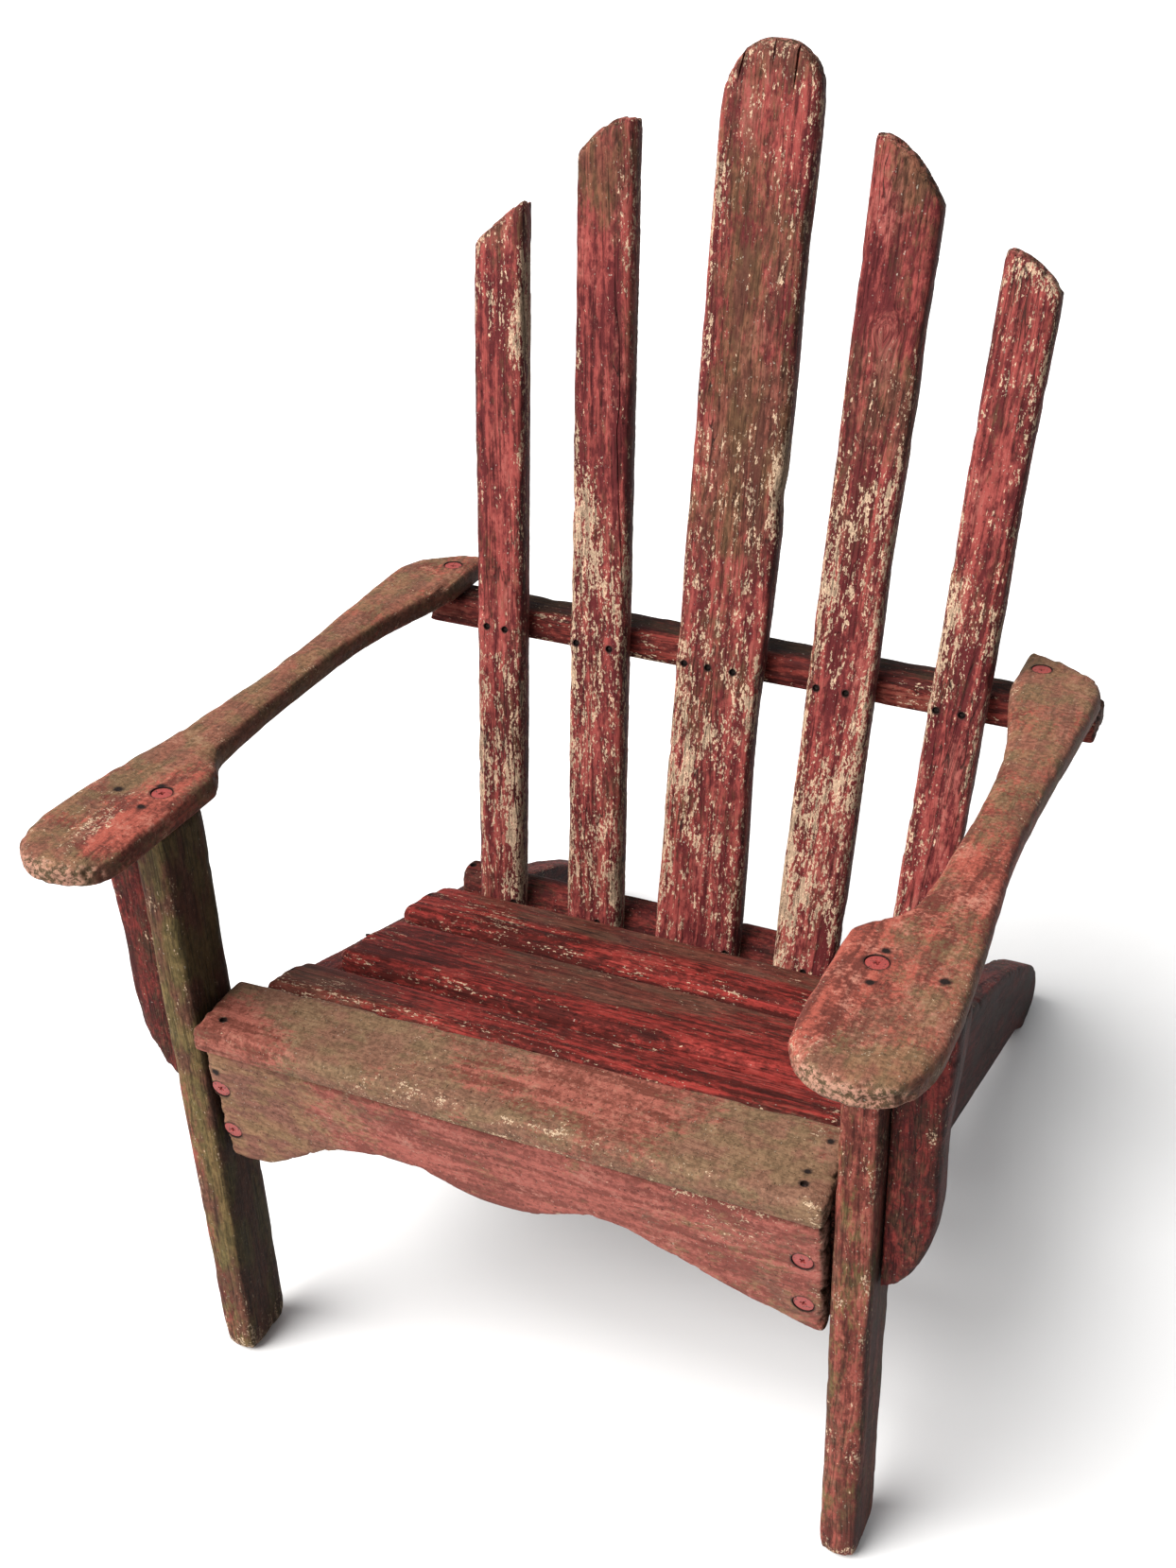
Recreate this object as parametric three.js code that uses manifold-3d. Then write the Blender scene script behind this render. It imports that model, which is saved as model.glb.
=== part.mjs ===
// Adirondack chair for a small child, made of sawn boards, screws and nails.
// Millimetres. +X is to the right as seen from the front, +Y is the rear, +Z is up.
// The pieces are laid out from the front of the front legs, and the finished chair is
// then moved so that its origin is on the floor under the middle of its outline.

import * as THREE from 'three';
import Module from 'manifold-3d';

const wasm = await Module();
wasm.setup();

// ---------- driving dimensions ----------

const GAP = 0.3; // clearance between pieces that touch

const LEG = { innerX: 130, thickness: 16.2, depth: 28.8 };
const LEG_OUTER_X = LEG.innerX + LEG.thickness;

const ARM = {
  thickness: 11,
  drop: 0.0692, // fall per millimetre towards the rear
  frontScrewY: 13.7,
  frontScrewZ: 289.5, // top of the arm at its front screw
  screwX: 137.5,
  rearScrewY: 247,
};

// the two arms were sawn by hand: the right one is a little fuller than the left
const ARM_SHAPES = {
  left: { innerFront: 126.2, tipY: -44.5, neckX: 159.3, rearX: 162 },
  right: { innerFront: 122, tipY: -50, neckX: 162.6, rearX: 165.6 },
};

const CORBEL = { thickness: 17, frontY: 7, bottomZ: 148, nailZ: 212 };

const SEAT = {
  thickness: 11,
  fall: 0.364, // fall per millimetre towards the rear
  backY: 188, // back edge of the last slat
  backZ: 135.9, // its top
};

// the level board over the apron, wider at its right end than at its left
const FRONT_SLAT = {
  frontY: -6, backLeftY: 30, backRightY: 38.5, topZ: 194, thickness: 12, halfLength: 129.6,
};

// the sloping seat slats: front edge of the top face at each end, its back edge, half the
// length and the radius of the corners
const SEAT_SLATS = [
  {
    name: 'seat_slat_2', frontLeftY: 34.4, frontRightY: 42.9, backLeftY: 65, backRightY: 68.5,
    halfLength: 120.5, corner: 3.6, nailX: 117.5,
  },
  {
    name: 'seat_slat_3', frontLeftY: 80, frontRightY: 77.5, backLeftY: 132.5, backRightY: 131.5,
    halfLength: 116.2, corner: 7, nailX: 114.9,
  },
  {
    name: 'seat_slat_4', frontLeftY: 146, frontRightY: 146, backLeftY: SEAT.backY, backRightY: SEAT.backY,
    halfLength: 123, corner: 6, nailX: 119,
  },
];

const STRINGER = { thickness: 16, outerX: LEG.innerX - GAP };

const APRON = {
  thickness: 11,
  halfLength: 128.6,
  topFrontY: -2, // front face, at its top edge
  topZ: 180.3,
  lean: 0.12, // the foot of the apron stands back this much per millimetre
  endZ: 115,
};

const BACK = {
  thickness: 12,
  recline: 0.268, // run to the rear per millimetre of rise
  frontY: 221.7, // front face at the height of the upper rail
  frontZ: 259,
  bottomZ: 124.6, // foot of the slats, just clear of the stringers
};

// back slats: centre and width at the seat and at the top, heights of the two top corners,
// how full the curve between them is, and the nails' offsets from the centre line, at the
// upper rail and at the lower rail
const BACK_SLATS = [
  {
    name: 'back_slat_1', lowX: -94, highX: -115.4, lowWidth: 23.5, highWidth: 26,
    leftZ: 421, rightZ: 441, fullness: 0.62, upperNails: [-5.5, 3.5], lowerNail: 7.7,
  },
  {
    name: 'back_slat_2', lowX: -46.5, highX: -65.8, lowWidth: 28, highWidth: 28,
    leftZ: 460, rightZ: 476, fullness: 1.15, upperNails: [-9.5, 6.5], lowerNail: 3.3,
  },
  {
    name: 'back_slat_3', lowX: 4.6, highX: 1.9, lowWidth: 41.5, highWidth: 43.2,
    leftZ: 509, rightZ: 509, fullness: 1, upperNails: [-15.8, -4.8, 6.7], lowerNail: 15.4,
  },
  {
    name: 'back_slat_4', lowX: 56, highX: 60.2, lowWidth: 30, highWidth: 31.4,
    leftZ: 478, rightZ: 453, fullness: 1.02, upperNails: [-9.7, 3.3], lowerNail: 1.2,
  },
  {
    name: 'back_slat_5', lowX: 104, highX: 114, lowWidth: 25, highWidth: 25.6,
    leftZ: 441, rightZ: 426, fullness: 1, upperNails: [-8, 3], lowerNail: 2,
  },
];
const BACK_LOW_Z = 135; // height at which lowX is given
const BACK_HIGH_Z = 430; // height at which highX is given

const UPPER_RAIL = { leftX: -146, rightX: 165, bottomZ: 250, backY: 255.8 };
const LOWER_RAIL = { halfLength: 121, topZ: 133.5, depth: 14.5 };

const SCREW = { headRadius: 4, headDepth: 2.7, shankRadius: 1.9, recess: 2.6, recessWidth: 1.1, recessDepth: 1.7 };
const NAIL = { headRadius: 1.25, headDepth: 1.1, shankRadius: 0.85, length: 22 };

const ROUND_SEGMENTS = 10;
const NAIL_SEGMENTS = 6;
const MATE_CLEARANCE = 0.28;

// ---------- finishes ----------

const FINISHES = {
  arm: { color: 0x96584c, roughness: 0.85 },
  leg: { color: 0x8d4d45, roughness: 0.85 },
  frame: { color: 0x7c3a36, roughness: 0.85 },
  front: { color: 0x85634f, roughness: 0.88 },
  seat: { color: 0x7f3436, roughness: 0.82 },
  back: { color: 0x803a3a, roughness: 0.82 },
  screw: { color: 0x9c4b46, roughness: 0.6, metalness: 0.4 },
  nail: { color: 0x3a2a26, roughness: 0.6, metalness: 0.7 },
};

function finish(name) {
  const { color, roughness, metalness = 0 } = FINISHES[name];
  return new THREE.MeshStandardMaterial({ color, roughness, metalness });
}

// ---------- solids ----------

function toSolid(geometry) {
  const bare = geometry.clone();
  bare.deleteAttribute('normal');
  bare.deleteAttribute('uv');
  const positions = bare.getAttribute('position');
  const keys = new Map();
  const vertices = [];
  const remap = [];
  for (let i = 0; i < positions.count; i += 1) {
    const point = [positions.getX(i), positions.getY(i), positions.getZ(i)];
    const key = point.map((value) => Math.round(value * 1e4)).join(',');
    if (!keys.has(key)) {
      keys.set(key, vertices.length / 3);
      vertices.push(...point);
    }
    remap.push(keys.get(key));
  }
  const source = bare.index ? Array.from(bare.index.array) : remap.map((_, i) => i);
  const triangles = [];
  for (let i = 0; i < source.length; i += 3) {
    const corner = [remap[source[i]], remap[source[i + 1]], remap[source[i + 2]]];
    const distinct = new Set(corner).size === 3;
    if (distinct) triangles.push(...corner);
  }
  return new wasm.Manifold(new wasm.Mesh({
    numProp: 3,
    vertProperties: new Float32Array(vertices),
    triVerts: new Uint32Array(triangles),
  }));
}

function toGeometry(solid) {
  const mesh = solid.getMesh();
  const shared = new THREE.BufferGeometry();
  shared.setAttribute('position', new THREE.BufferAttribute(new Float32Array(mesh.vertProperties), 3));
  shared.setIndex(new THREE.BufferAttribute(new Uint32Array(mesh.triVerts), 1));
  const geometry = shared.toNonIndexed();
  geometry.computeVertexNormals();
  return geometry;
}

// A board: an outline thickened on both sides of its own plane, with eased edges.
function board(outline, thickness, easing) {
  const geometry = new THREE.ExtrudeGeometry(outline, {
    depth: thickness - 2 * easing,
    bevelEnabled: true,
    bevelThickness: easing,
    bevelSize: easing,
    bevelOffset: -easing,
    bevelSegments: 1,
    curveSegments: 5,
  });
  return geometry.translate(0, 0, easing);
}

// Puts a board's outline axes and its thickness axis along three directions in space.
function place(geometry, across, along, through, origin) {
  const basis = new THREE.Matrix4().makeBasis(across, along, through);
  basis.setPosition(origin);
  return geometry.applyMatrix4(basis);
}

// A convex outline through the given corners, anticlockwise, each rounded to one radius.
function roundedCorners(corners, radius) {
  const points = corners.map(([x, y]) => new THREE.Vector2(x, y));
  const count = points.length;
  const shape = new THREE.Shape();
  points.forEach((corner, index) => {
    const before = points[(index + count - 1) % count].clone().sub(corner).normalize();
    const after = points[(index + 1) % count].clone().sub(corner).normalize();
    const halfAngle = Math.acos(before.dot(after)) / 2;
    const inward = before.clone().add(after).normalize();
    const centre = corner.clone().addScaledVector(inward, radius / Math.sin(halfAngle));
    const reach = radius / Math.tan(halfAngle);
    const touch = corner.clone().addScaledVector(before, reach).sub(centre);
    const leave = corner.clone().addScaledVector(after, reach).sub(centre);
    shape.absarc(centre.x, centre.y, radius, touch.angle(), leave.angle());
  });
  return shape;
}

function polygon(corners) {
  return new THREE.Shape(corners.map(([x, y]) => new THREE.Vector2(x, y)));
}

const AXIS_X = new THREE.Vector3(1, 0, 0);
const AXIS_Y = new THREE.Vector3(0, 1, 0);
const AXIS_Z = new THREE.Vector3(0, 0, 1);

// ---------- fasteners ----------

// A turned profile about +Z with its head's flat top at z = 0 and its point below.
function turned(points, segments) {
  const profile = points.map(([radius, z]) => new THREE.Vector2(radius, z));
  const geometry = new THREE.LatheGeometry(profile, segments);
  return geometry.rotateX(Math.PI / 2);
}

function screwProfile(length, grow) {
  const head = SCREW.headRadius + grow;
  const shank = SCREW.shankRadius + grow;
  const end = -length - grow;
  return [[0, end], [shank * 0.45, end + 1.5], [shank, end + 6], [shank, -SCREW.headDepth], [head, -0.5], [head, 0], [0, 0]];
}

function nailProfile(length, grow) {
  const shank = NAIL.shankRadius + grow;
  const head = NAIL.headRadius + grow;
  const end = -length - grow;
  return [[0, end], [shank, end + 2], [shank, -NAIL.headDepth - grow], [head, -NAIL.headDepth - grow], [head, 0], [0, 0]];
}

// Aims +Z of a turned fastener along the outward direction at its head.
function aim(geometry, head, outward) {
  const turn = new THREE.Quaternion().setFromUnitVectors(AXIS_Z, outward.clone().normalize());
  return geometry.applyQuaternion(turn).translate(head.x, head.y, head.z);
}

function screwSolid(head, outward, length) {
  const body = toSolid(turned(screwProfile(length, 0), ROUND_SEGMENTS));
  const slot = (width, height) => {
    const box = new THREE.BoxGeometry(width, height, SCREW.recessDepth * 2);
    return toSolid(box);
  };
  const cross = slot(SCREW.recess * 2, SCREW.recessWidth).add(slot(SCREW.recessWidth, SCREW.recess * 2));
  return aim(toGeometry(body.subtract(cross)), head, outward);
}

function screwHole(head, outward, length) {
  const profile = screwProfile(length, MATE_CLEARANCE);
  profile.splice(-2, 2, [SCREW.headRadius + MATE_CLEARANCE, 4], [0, 4]);
  return toSolid(aim(turned(profile, ROUND_SEGMENTS), head, outward));
}

function nailSolid(head, outward, length) {
  return aim(turned(nailProfile(length, 0), NAIL_SEGMENTS), head, outward);
}

function nailHole(head, outward, length) {
  const profile = nailProfile(length, MATE_CLEARANCE);
  profile.splice(-2, 2, [NAIL.headRadius + MATE_CLEARANCE, 4], [0, 4]);
  return toSolid(aim(turned(profile, NAIL_SEGMENTS), head, outward));
}

// ---------- assembly bookkeeping ----------

const chair = new THREE.Group();
chair.name = 'adirondack_chair';
const wood = new Map(); // name -> { solid, finish }
const fasteners = []; // name, geometry, finish, hole, and the boards it passes through

function addBoard(name, geometry, finishName) {
  wood.set(name, { solid: toSolid(geometry), finish: finishName });
}

function cut(name, tool) {
  const entry = wood.get(name);
  entry.solid = entry.solid.subtract(tool);
}

function addScrew(name, head, outward, length, boards) {
  fasteners.push({ name, geometry: screwSolid(head, outward, length), finish: 'screw' });
  boards.forEach((boardName) => cut(boardName, screwHole(head, outward, length)));
}

function addNail(name, head, outward, boards, length = NAIL.length) {
  fasteners.push({ name, geometry: nailSolid(head, outward, length), finish: 'nail' });
  boards.forEach((boardName) => cut(boardName, nailHole(head, outward, length)));
}

const SIDES = [{ word: 'left', sign: -1 }, { word: 'right', sign: 1 }];

// ---------- surfaces that several boards share ----------

const armTopZ = (y) => ARM.frontScrewZ - ARM.drop * (y - ARM.frontScrewY);
const armTilt = Math.atan(ARM.drop);
const armUp = new THREE.Vector3(0, Math.sin(armTilt), Math.cos(armTilt));
const armBack = new THREE.Vector3(0, Math.cos(armTilt), -Math.sin(armTilt));
const armUndersideZ = (y) => armTopZ(y) - ARM.thickness / Math.cos(armTilt);

const seatTilt = Math.atan(SEAT.fall);
const seatUp = new THREE.Vector3(0, Math.sin(seatTilt), Math.cos(seatTilt));
const seatBack = new THREE.Vector3(0, Math.cos(seatTilt), -Math.sin(seatTilt));
const seatTopZ = (y) => SEAT.backZ + SEAT.fall * (SEAT.backY - y);
const stringerTopZ = (y) => seatTopZ(y) - SEAT.thickness / Math.cos(seatTilt) - GAP;

const backTilt = Math.atan(BACK.recline);
const backUp = new THREE.Vector3(0, Math.sin(backTilt), Math.cos(backTilt));
const backRear = new THREE.Vector3(0, Math.cos(backTilt), -Math.sin(backTilt));
const backFrontY = (z) => BACK.frontY + BACK.recline * (z - BACK.frontZ);
const backRearY = (z) => backFrontY(z) + BACK.thickness / Math.cos(backTilt);

const apronTilt = Math.atan(APRON.lean);
const apronUp = new THREE.Vector3(0, -Math.sin(apronTilt), Math.cos(apronTilt));
const apronRear = new THREE.Vector3(0, Math.cos(apronTilt), Math.sin(apronTilt));
const apronFrontY = (z) => APRON.topFrontY + APRON.lean * (APRON.topZ - z);
const apronRearY = (z) => apronFrontY(z) + APRON.thickness / Math.cos(apronTilt);

const seatUnderFrontSlat = FRONT_SLAT.topZ - FRONT_SLAT.thickness - GAP;

// Everything above the underside of the arms, for trimming what stands below them.
function aboveArms() {
  const size = 400;
  const block = new THREE.BoxGeometry(size * 2, size * 2, size);
  block.rotateX(-armTilt);
  const lift = size / 2 - GAP;
  const middle = new THREE.Vector3(0, ARM.frontScrewY, armUndersideZ(ARM.frontScrewY));
  middle.addScaledVector(armUp, lift);
  return toSolid(block.translate(middle.x, middle.y, middle.z));
}

// ---------- front legs ----------

function makeLegs() {
  const easing = 2;
  const overlong = 285;
  const section = roundedCorners([
    [LEG.innerX, 0],
    [LEG_OUTER_X, 0],
    [LEG_OUTER_X, LEG.depth],
    [LEG.innerX, LEG.depth],
  ], 3);
  SIDES.forEach(({ word, sign }) => {
    const upright = board(section, overlong, easing);
    const name = `front_leg_${word}`;
    addBoard(name, upright, 'leg');
    cut(name, aboveArms());
    if (sign < 0) mirror(name);
  });
}

function mirror(name) {
  const entry = wood.get(name);
  entry.solid = entry.solid.mirror([1, 0, 0]);
}

// ---------- arms ----------

// Paddle outline of an arm on the right, seen from above: a smooth loop through its widest,
// narrowest and turning points, with a clipped rear corner.
function armOutline({ innerFront, tipY, neckX, rearX }) {
  const shape = new THREE.Shape();
  const outerFront = 171;
  const notchY = 33;
  shape.moveTo(innerFront, notchY);
  shape.lineTo(innerFront, -24);
  shape.bezierCurveTo(innerFront, tipY + 8, 134, tipY, 148, tipY);
  shape.bezierCurveTo(162, tipY, outerFront, tipY + 10, outerFront, -16);
  shape.bezierCurveTo(outerFront, 25, neckX + 1, 68, neckX, 112);
  shape.bezierCurveTo(neckX - 0.5, 160, rearX, 190, rearX, 238);
  shape.lineTo(rearX - 5, 251);
  shape.lineTo(143, 262.5);
  shape.lineTo(133, 267);
  shape.lineTo(127.5, 267);
  shape.lineTo(127.5, 233);
  shape.bezierCurveTo(131, 205, 140.5, 190, 140.8, 150);
  shape.bezierCurveTo(141, 110, 141, 85, 138, 56);
  shape.bezierCurveTo(137, 47, 130, 44, innerFront, notchY);
  return shape;
}

function makeArms() {
  SIDES.forEach(({ word, sign }) => {
    const name = `arm_${word}`;
    const origin = new THREE.Vector3(0, ARM.frontScrewY, ARM.frontScrewZ);
    origin.addScaledVector(armUp, -ARM.thickness);
    const paddle = board(armOutline(ARM_SHAPES[word]), ARM.thickness, 2.4).translate(0, -ARM.frontScrewY, 0);
    addBoard(name, place(paddle, AXIS_X, armBack, armUp, origin), 'arm');
    if (sign < 0) mirror(name);
  });
}

// ---------- corbels ----------

// Bracket profile seen from the front: flared under the arm, hollow, then a soft belly
// that runs into the leg.
function corbelOutline() {
  const innerX = LEG_OUTER_X + GAP;
  const topZ = ARM.frontScrewZ;
  const shape = new THREE.Shape();
  shape.moveTo(innerX, CORBEL.bottomZ);
  shape.bezierCurveTo(innerX + 10, CORBEL.bottomZ + 1, innerX + 18.4, 168, innerX + 18.8, 190);
  shape.bezierCurveTo(innerX + 19.2, 204, innerX + 17.6, 214, innerX + 19.2, 233);
  shape.bezierCurveTo(innerX + 20.5, 246, innerX + 22, 260, innerX + 22.5, topZ);
  shape.lineTo(innerX, topZ);
  shape.closePath();
  return shape;
}

function makeCorbels() {
  SIDES.forEach(({ word, sign }) => {
    const name = `corbel_${word}`;
    const bracket = board(corbelOutline(), CORBEL.thickness, 2);
    const front = new THREE.Vector3(0, CORBEL.frontY + CORBEL.thickness, 0);
    addBoard(name, place(bracket, AXIS_X, AXIS_Z, AXIS_Y.clone().negate(), front), 'frame');
    cut(name, aboveArms());
    if (sign < 0) mirror(name);
  });
}

// ---------- stringers ----------

// Side rail seen from the side: level under the front slat, then straight down the seat
// line, then rounding over to a tail that rests on the floor.
function stringerOutline() {
  const topZ = seatUnderFrontSlat;
  const slopeStartY = SEAT.backY - (topZ + SEAT.thickness / Math.cos(seatTilt) + GAP - SEAT.backZ) / SEAT.fall;
  const seatEndY = 214;
  const frontBottomZ = 122;
  const lowerSlope = 0.352;
  const frontFoot = apronRearY(frontBottomZ) + GAP;
  const heelY = 352;
  const shape = new THREE.Shape();
  shape.moveTo(frontFoot, frontBottomZ);
  shape.lineTo(heelY - 26, frontBottomZ - lowerSlope * (heelY - 26 - frontFoot));
  shape.lineTo(heelY - 7, 0);
  shape.lineTo(heelY + 12, 0);
  shape.bezierCurveTo(376, 1.5, 376.5, 17, 363, 30);
  shape.bezierCurveTo(335, 52, 300, 80, seatEndY, stringerTopZ(seatEndY));
  shape.lineTo(slopeStartY, topZ);
  shape.lineTo(apronRearY(topZ) + GAP, topZ);
  shape.closePath();
  return shape;
}

function makeStringers() {
  SIDES.forEach(({ word, sign }) => {
    const rail = board(stringerOutline(), STRINGER.thickness, 1.2);
    const inner = new THREE.Vector3(STRINGER.outerX - STRINGER.thickness, 0, 0);
    const name = `stringer_${word}`;
    addBoard(name, place(rail, AXIS_Y, AXIS_Z, AXIS_X, inner), 'frame');
    if (sign < 0) mirror(name);
  });
}

// ---------- apron ----------

// Front board with low ends, two shallow arches and a drop in the middle.
function apronOutline() {
  const shape = new THREE.Shape();
  const half = APRON.halfLength;
  const endLow = APRON.endZ;
  const archTop = 145;
  const middle = 134.8;
  shape.moveTo(-half, endLow);
  shape.lineTo(-half + 19, endLow + 2);
  shape.bezierCurveTo(-92, 126, -82, 139, -62, 142.5);
  shape.bezierCurveTo(-40, archTop + 2, -32, 141, -22, 138);
  shape.bezierCurveTo(-12, middle, -8, middle, 0, middle);
  shape.bezierCurveTo(8, middle, 14, middle + 1, 22, 140);
  shape.bezierCurveTo(30, archTop + 1, 44, archTop + 4, 60, 140.5);
  shape.bezierCurveTo(80, 135, 95, 124, half - 19, endLow + 7);
  shape.lineTo(half, endLow + 2);
  shape.lineTo(half, APRON.topZ);
  shape.lineTo(-half, APRON.topZ);
  shape.closePath();
  return shape;
}

function makeApron() {
  const panel = board(apronOutline(), APRON.thickness, 1.2).translate(0, -APRON.topZ, -APRON.thickness);
  const origin = new THREE.Vector3(0, APRON.topFrontY, APRON.topZ);
  addBoard('apron', place(panel, AXIS_X, apronUp, apronRear.clone().negate(), origin), 'front');
}

// ---------- seat slats ----------

function makeFrontSlat() {
  const { halfLength, frontY, backLeftY, backRightY, topZ, thickness } = FRONT_SLAT;
  const outline = roundedCorners([
    [-halfLength, frontY],
    [halfLength, frontY],
    [halfLength, backRightY],
    [-halfLength, backLeftY],
  ], 2.4);
  const slat = board(outline, thickness, 1.8);
  slat.translate(0, 0, topZ - thickness);
  addBoard('seat_slat_1', slat, 'front');
}

function makeSeatSlats() {
  makeFrontSlat();
  SEAT_SLATS.forEach(({ name, frontLeftY, frontRightY, backLeftY, backRightY, halfLength, corner }) => {
    const along = (y) => (y - SEAT.backY) / Math.cos(seatTilt);
    const outline = roundedCorners([
      [-halfLength, along(frontLeftY)],
      [halfLength, along(frontRightY)],
      [halfLength, along(backRightY)],
      [-halfLength, along(backLeftY)],
    ], corner);
    const slat = board(outline, SEAT.thickness, 3.2);
    const origin = new THREE.Vector3(0, SEAT.backY, SEAT.backZ).addScaledVector(seatUp, -SEAT.thickness);
    addBoard(name, place(slat, AXIS_X, seatBack, seatUp, origin), 'seat');
  });
}

// ---------- back rails ----------

const railFrontY = (z) => backRearY(z) + GAP;

// Where the rails' front plane meets a gently falling surface, by repeated substitution.
function railMeets(surfaceZ) {
  let y = BACK.frontY;
  for (let step = 0; step < 8; step += 1) y = railFrontY(surfaceZ(y));
  return y;
}

function makeUpperRail() {
  const { bottomZ, backY, leftX, rightX } = UPPER_RAIL;
  const topZ = (y) => armUndersideZ(y) - GAP;
  const topFrontY = railMeets(topZ);
  const section = polygon([
    [railFrontY(bottomZ), bottomZ],
    [backY, bottomZ],
    [backY, topZ(backY)],
    [topFrontY, topZ(topFrontY)],
  ]);
  const rail = board(section, rightX - leftX, 1.6);
  const end = new THREE.Vector3(leftX, 0, 0);
  addBoard('back_rail_upper', place(rail, AXIS_Y, AXIS_Z, AXIS_X, end), 'frame');
}

function makeLowerRail() {
  const { topZ, depth, halfLength } = LOWER_RAIL;
  const footZ = (y) => stringerTopZ(y) + GAP;
  const footFrontY = railMeets(footZ);
  const section = polygon([
    [footFrontY, footZ(footFrontY)],
    [footFrontY + depth, footZ(footFrontY + depth)],
    [railFrontY(topZ) + depth, topZ],
    [railFrontY(topZ), topZ],
  ]);
  const rail = board(section, halfLength * 2, 1.6);
  const end = new THREE.Vector3(-halfLength, 0, 0);
  addBoard('back_rail_lower', place(rail, AXIS_Y, AXIS_Z, AXIS_X, end), 'frame');
}

// ---------- back slats ----------

const shareUpBack = (z) => (z - BACK_LOW_Z) / (BACK_HIGH_Z - BACK_LOW_Z);
const backCentreX = (slat, z) => slat.lowX + shareUpBack(z) * (slat.highX - slat.lowX);
const backHalfWidth = (slat, z) => (slat.lowWidth + shareUpBack(z) * (slat.highWidth - slat.lowWidth)) / 2;

// Distance along the slope of the back from its reference height.
const alongBack = (z) => (z - BACK.frontZ) / Math.cos(backTilt);

function backSlatOutline(slat) {
  const low = alongBack(BACK.bottomZ);
  const left = alongBack(slat.leftZ);
  const right = alongBack(slat.rightZ);
  const shape = new THREE.Shape();
  const edge = (z, side) => backCentreX(slat, z) + side * backHalfWidth(slat, z);
  shape.moveTo(edge(BACK.bottomZ, -1), low);
  shape.lineTo(edge(BACK.bottomZ, 1), low);
  if (slat.leftZ === slat.rightZ) {
    const shoulder = 22;
    const centre = backCentreX(slat, slat.leftZ);
    const half = backHalfWidth(slat, slat.leftZ);
    shape.lineTo(centre + half, right - shoulder);
    shape.bezierCurveTo(centre + half, right - 8, centre + half * 0.55, right, centre + 1, right);
    shape.bezierCurveTo(centre - half * 0.6, right, centre - half, right - 12, centre - half, right - shoulder - 8);
  } else {
    const middle = (edge(slat.leftZ, -1) + edge(slat.rightZ, 1)) / 2;
    const crown = Math.min(left, right) + Math.abs(left - right) * slat.fullness;
    shape.lineTo(edge(slat.rightZ, 1), right);
    shape.quadraticCurveTo(middle, crown, edge(slat.leftZ, -1), left);
  }
  shape.closePath();
  return shape;
}

function makeBackSlats() {
  BACK_SLATS.forEach((slat) => {
    const piece = board(backSlatOutline(slat), BACK.thickness, 2.6);
    const origin = new THREE.Vector3(0, BACK.frontY, BACK.frontZ).addScaledVector(backRear, BACK.thickness);
    addBoard(slat.name, place(piece, AXIS_X, backUp, backRear.clone().negate(), origin), 'back');
  });
}

// ---------- screws and nails ----------

function fastenArms() {
  const frontLength = 34;
  const rearLength = 20;
  const sunk = 0.4;
  SIDES.forEach(({ word, sign }) => {
    const at = (y) => new THREE.Vector3(sign * ARM.screwX, y, armTopZ(y)).addScaledVector(armUp, -sunk);
    addScrew(`arm_screw_front_${word}`, at(ARM.frontScrewY), armUp, frontLength,
      [`arm_${word}`, `front_leg_${word}`]);
    addScrew(`arm_screw_rear_${word}`, at(ARM.rearScrewY), armUp, rearLength,
      [`arm_${word}`, 'back_rail_upper']);
  });
}

function fastenApron() {
  const length = 28;
  const heights = { upper: 159, lower: 134.4 };
  const screwX = { left: -123.8, right: 120.2 };
  const sunk = 0.4;
  const outward = apronRear.clone().negate();
  SIDES.forEach(({ word }) => {
    Object.entries(heights).forEach(([level, z]) => {
      const head = new THREE.Vector3(screwX[word], apronFrontY(z), z);
      head.addScaledVector(outward, -sunk);
      addScrew(`apron_screw_${level}_${word}`, head, outward, length, ['apron', `stringer_${word}`]);
    });
  });
}

function fastenLegs() {
  const length = 26;
  const y = 22;
  const sunk = 0.4;
  const heights = { upper: 171, lower: 147 };
  SIDES.forEach(({ word, sign }) => {
    Object.entries(heights).forEach(([level, z]) => {
      const innerX = STRINGER.outerX - STRINGER.thickness + sunk;
      const head = new THREE.Vector3(sign * innerX, y, z);
      const outward = new THREE.Vector3(-sign, 0, 0);
      addScrew(`leg_screw_${level}_${word}`, head, outward, length, [`stringer_${word}`, `front_leg_${word}`]);
    });
  });
}

function fastenSeat() {
  const sunk = 0.5;
  const frontNail = { x: 119, y: 3.6 };
  SIDES.forEach(({ word, sign }) => {
    const head = new THREE.Vector3(sign * frontNail.x, frontNail.y, FRONT_SLAT.topZ - sunk);
    addNail(`seat_nail_1_${word}`, head, AXIS_Z, ['seat_slat_1', 'apron']);
    SEAT_SLATS.forEach((slat, index) => {
      const y = sign < 0
        ? (slat.frontLeftY + slat.backLeftY) / 2
        : (slat.frontRightY + slat.backRightY) / 2;
      const point = new THREE.Vector3(sign * slat.nailX, y, seatTopZ(y)).addScaledVector(seatUp, -sunk);
      addNail(`seat_nail_${index + 2}_${word}`, point, seatUp, [slat.name, `stringer_${word}`]);
    });
  });
}

function fastenBack() {
  const sunk = 0.5;
  const upperZ = 259.2;
  const lowerZ = 133;
  const outward = backRear.clone().negate();
  BACK_SLATS.forEach((slat, index) => {
    const nail = (suffix, offset, z, railName) => {
      const head = new THREE.Vector3(backCentreX(slat, z) + offset, backFrontY(z), z);
      head.addScaledVector(outward, -sunk);
      addNail(`back_nail_${index + 1}_${suffix}`, head, outward, [slat.name, railName]);
    };
    slat.upperNails.forEach((offset, count) => nail(`upper_${count + 1}`, offset, upperZ, 'back_rail_upper'));
    nail('lower', slat.lowerNail, lowerZ, 'back_rail_lower');
  });
}

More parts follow.
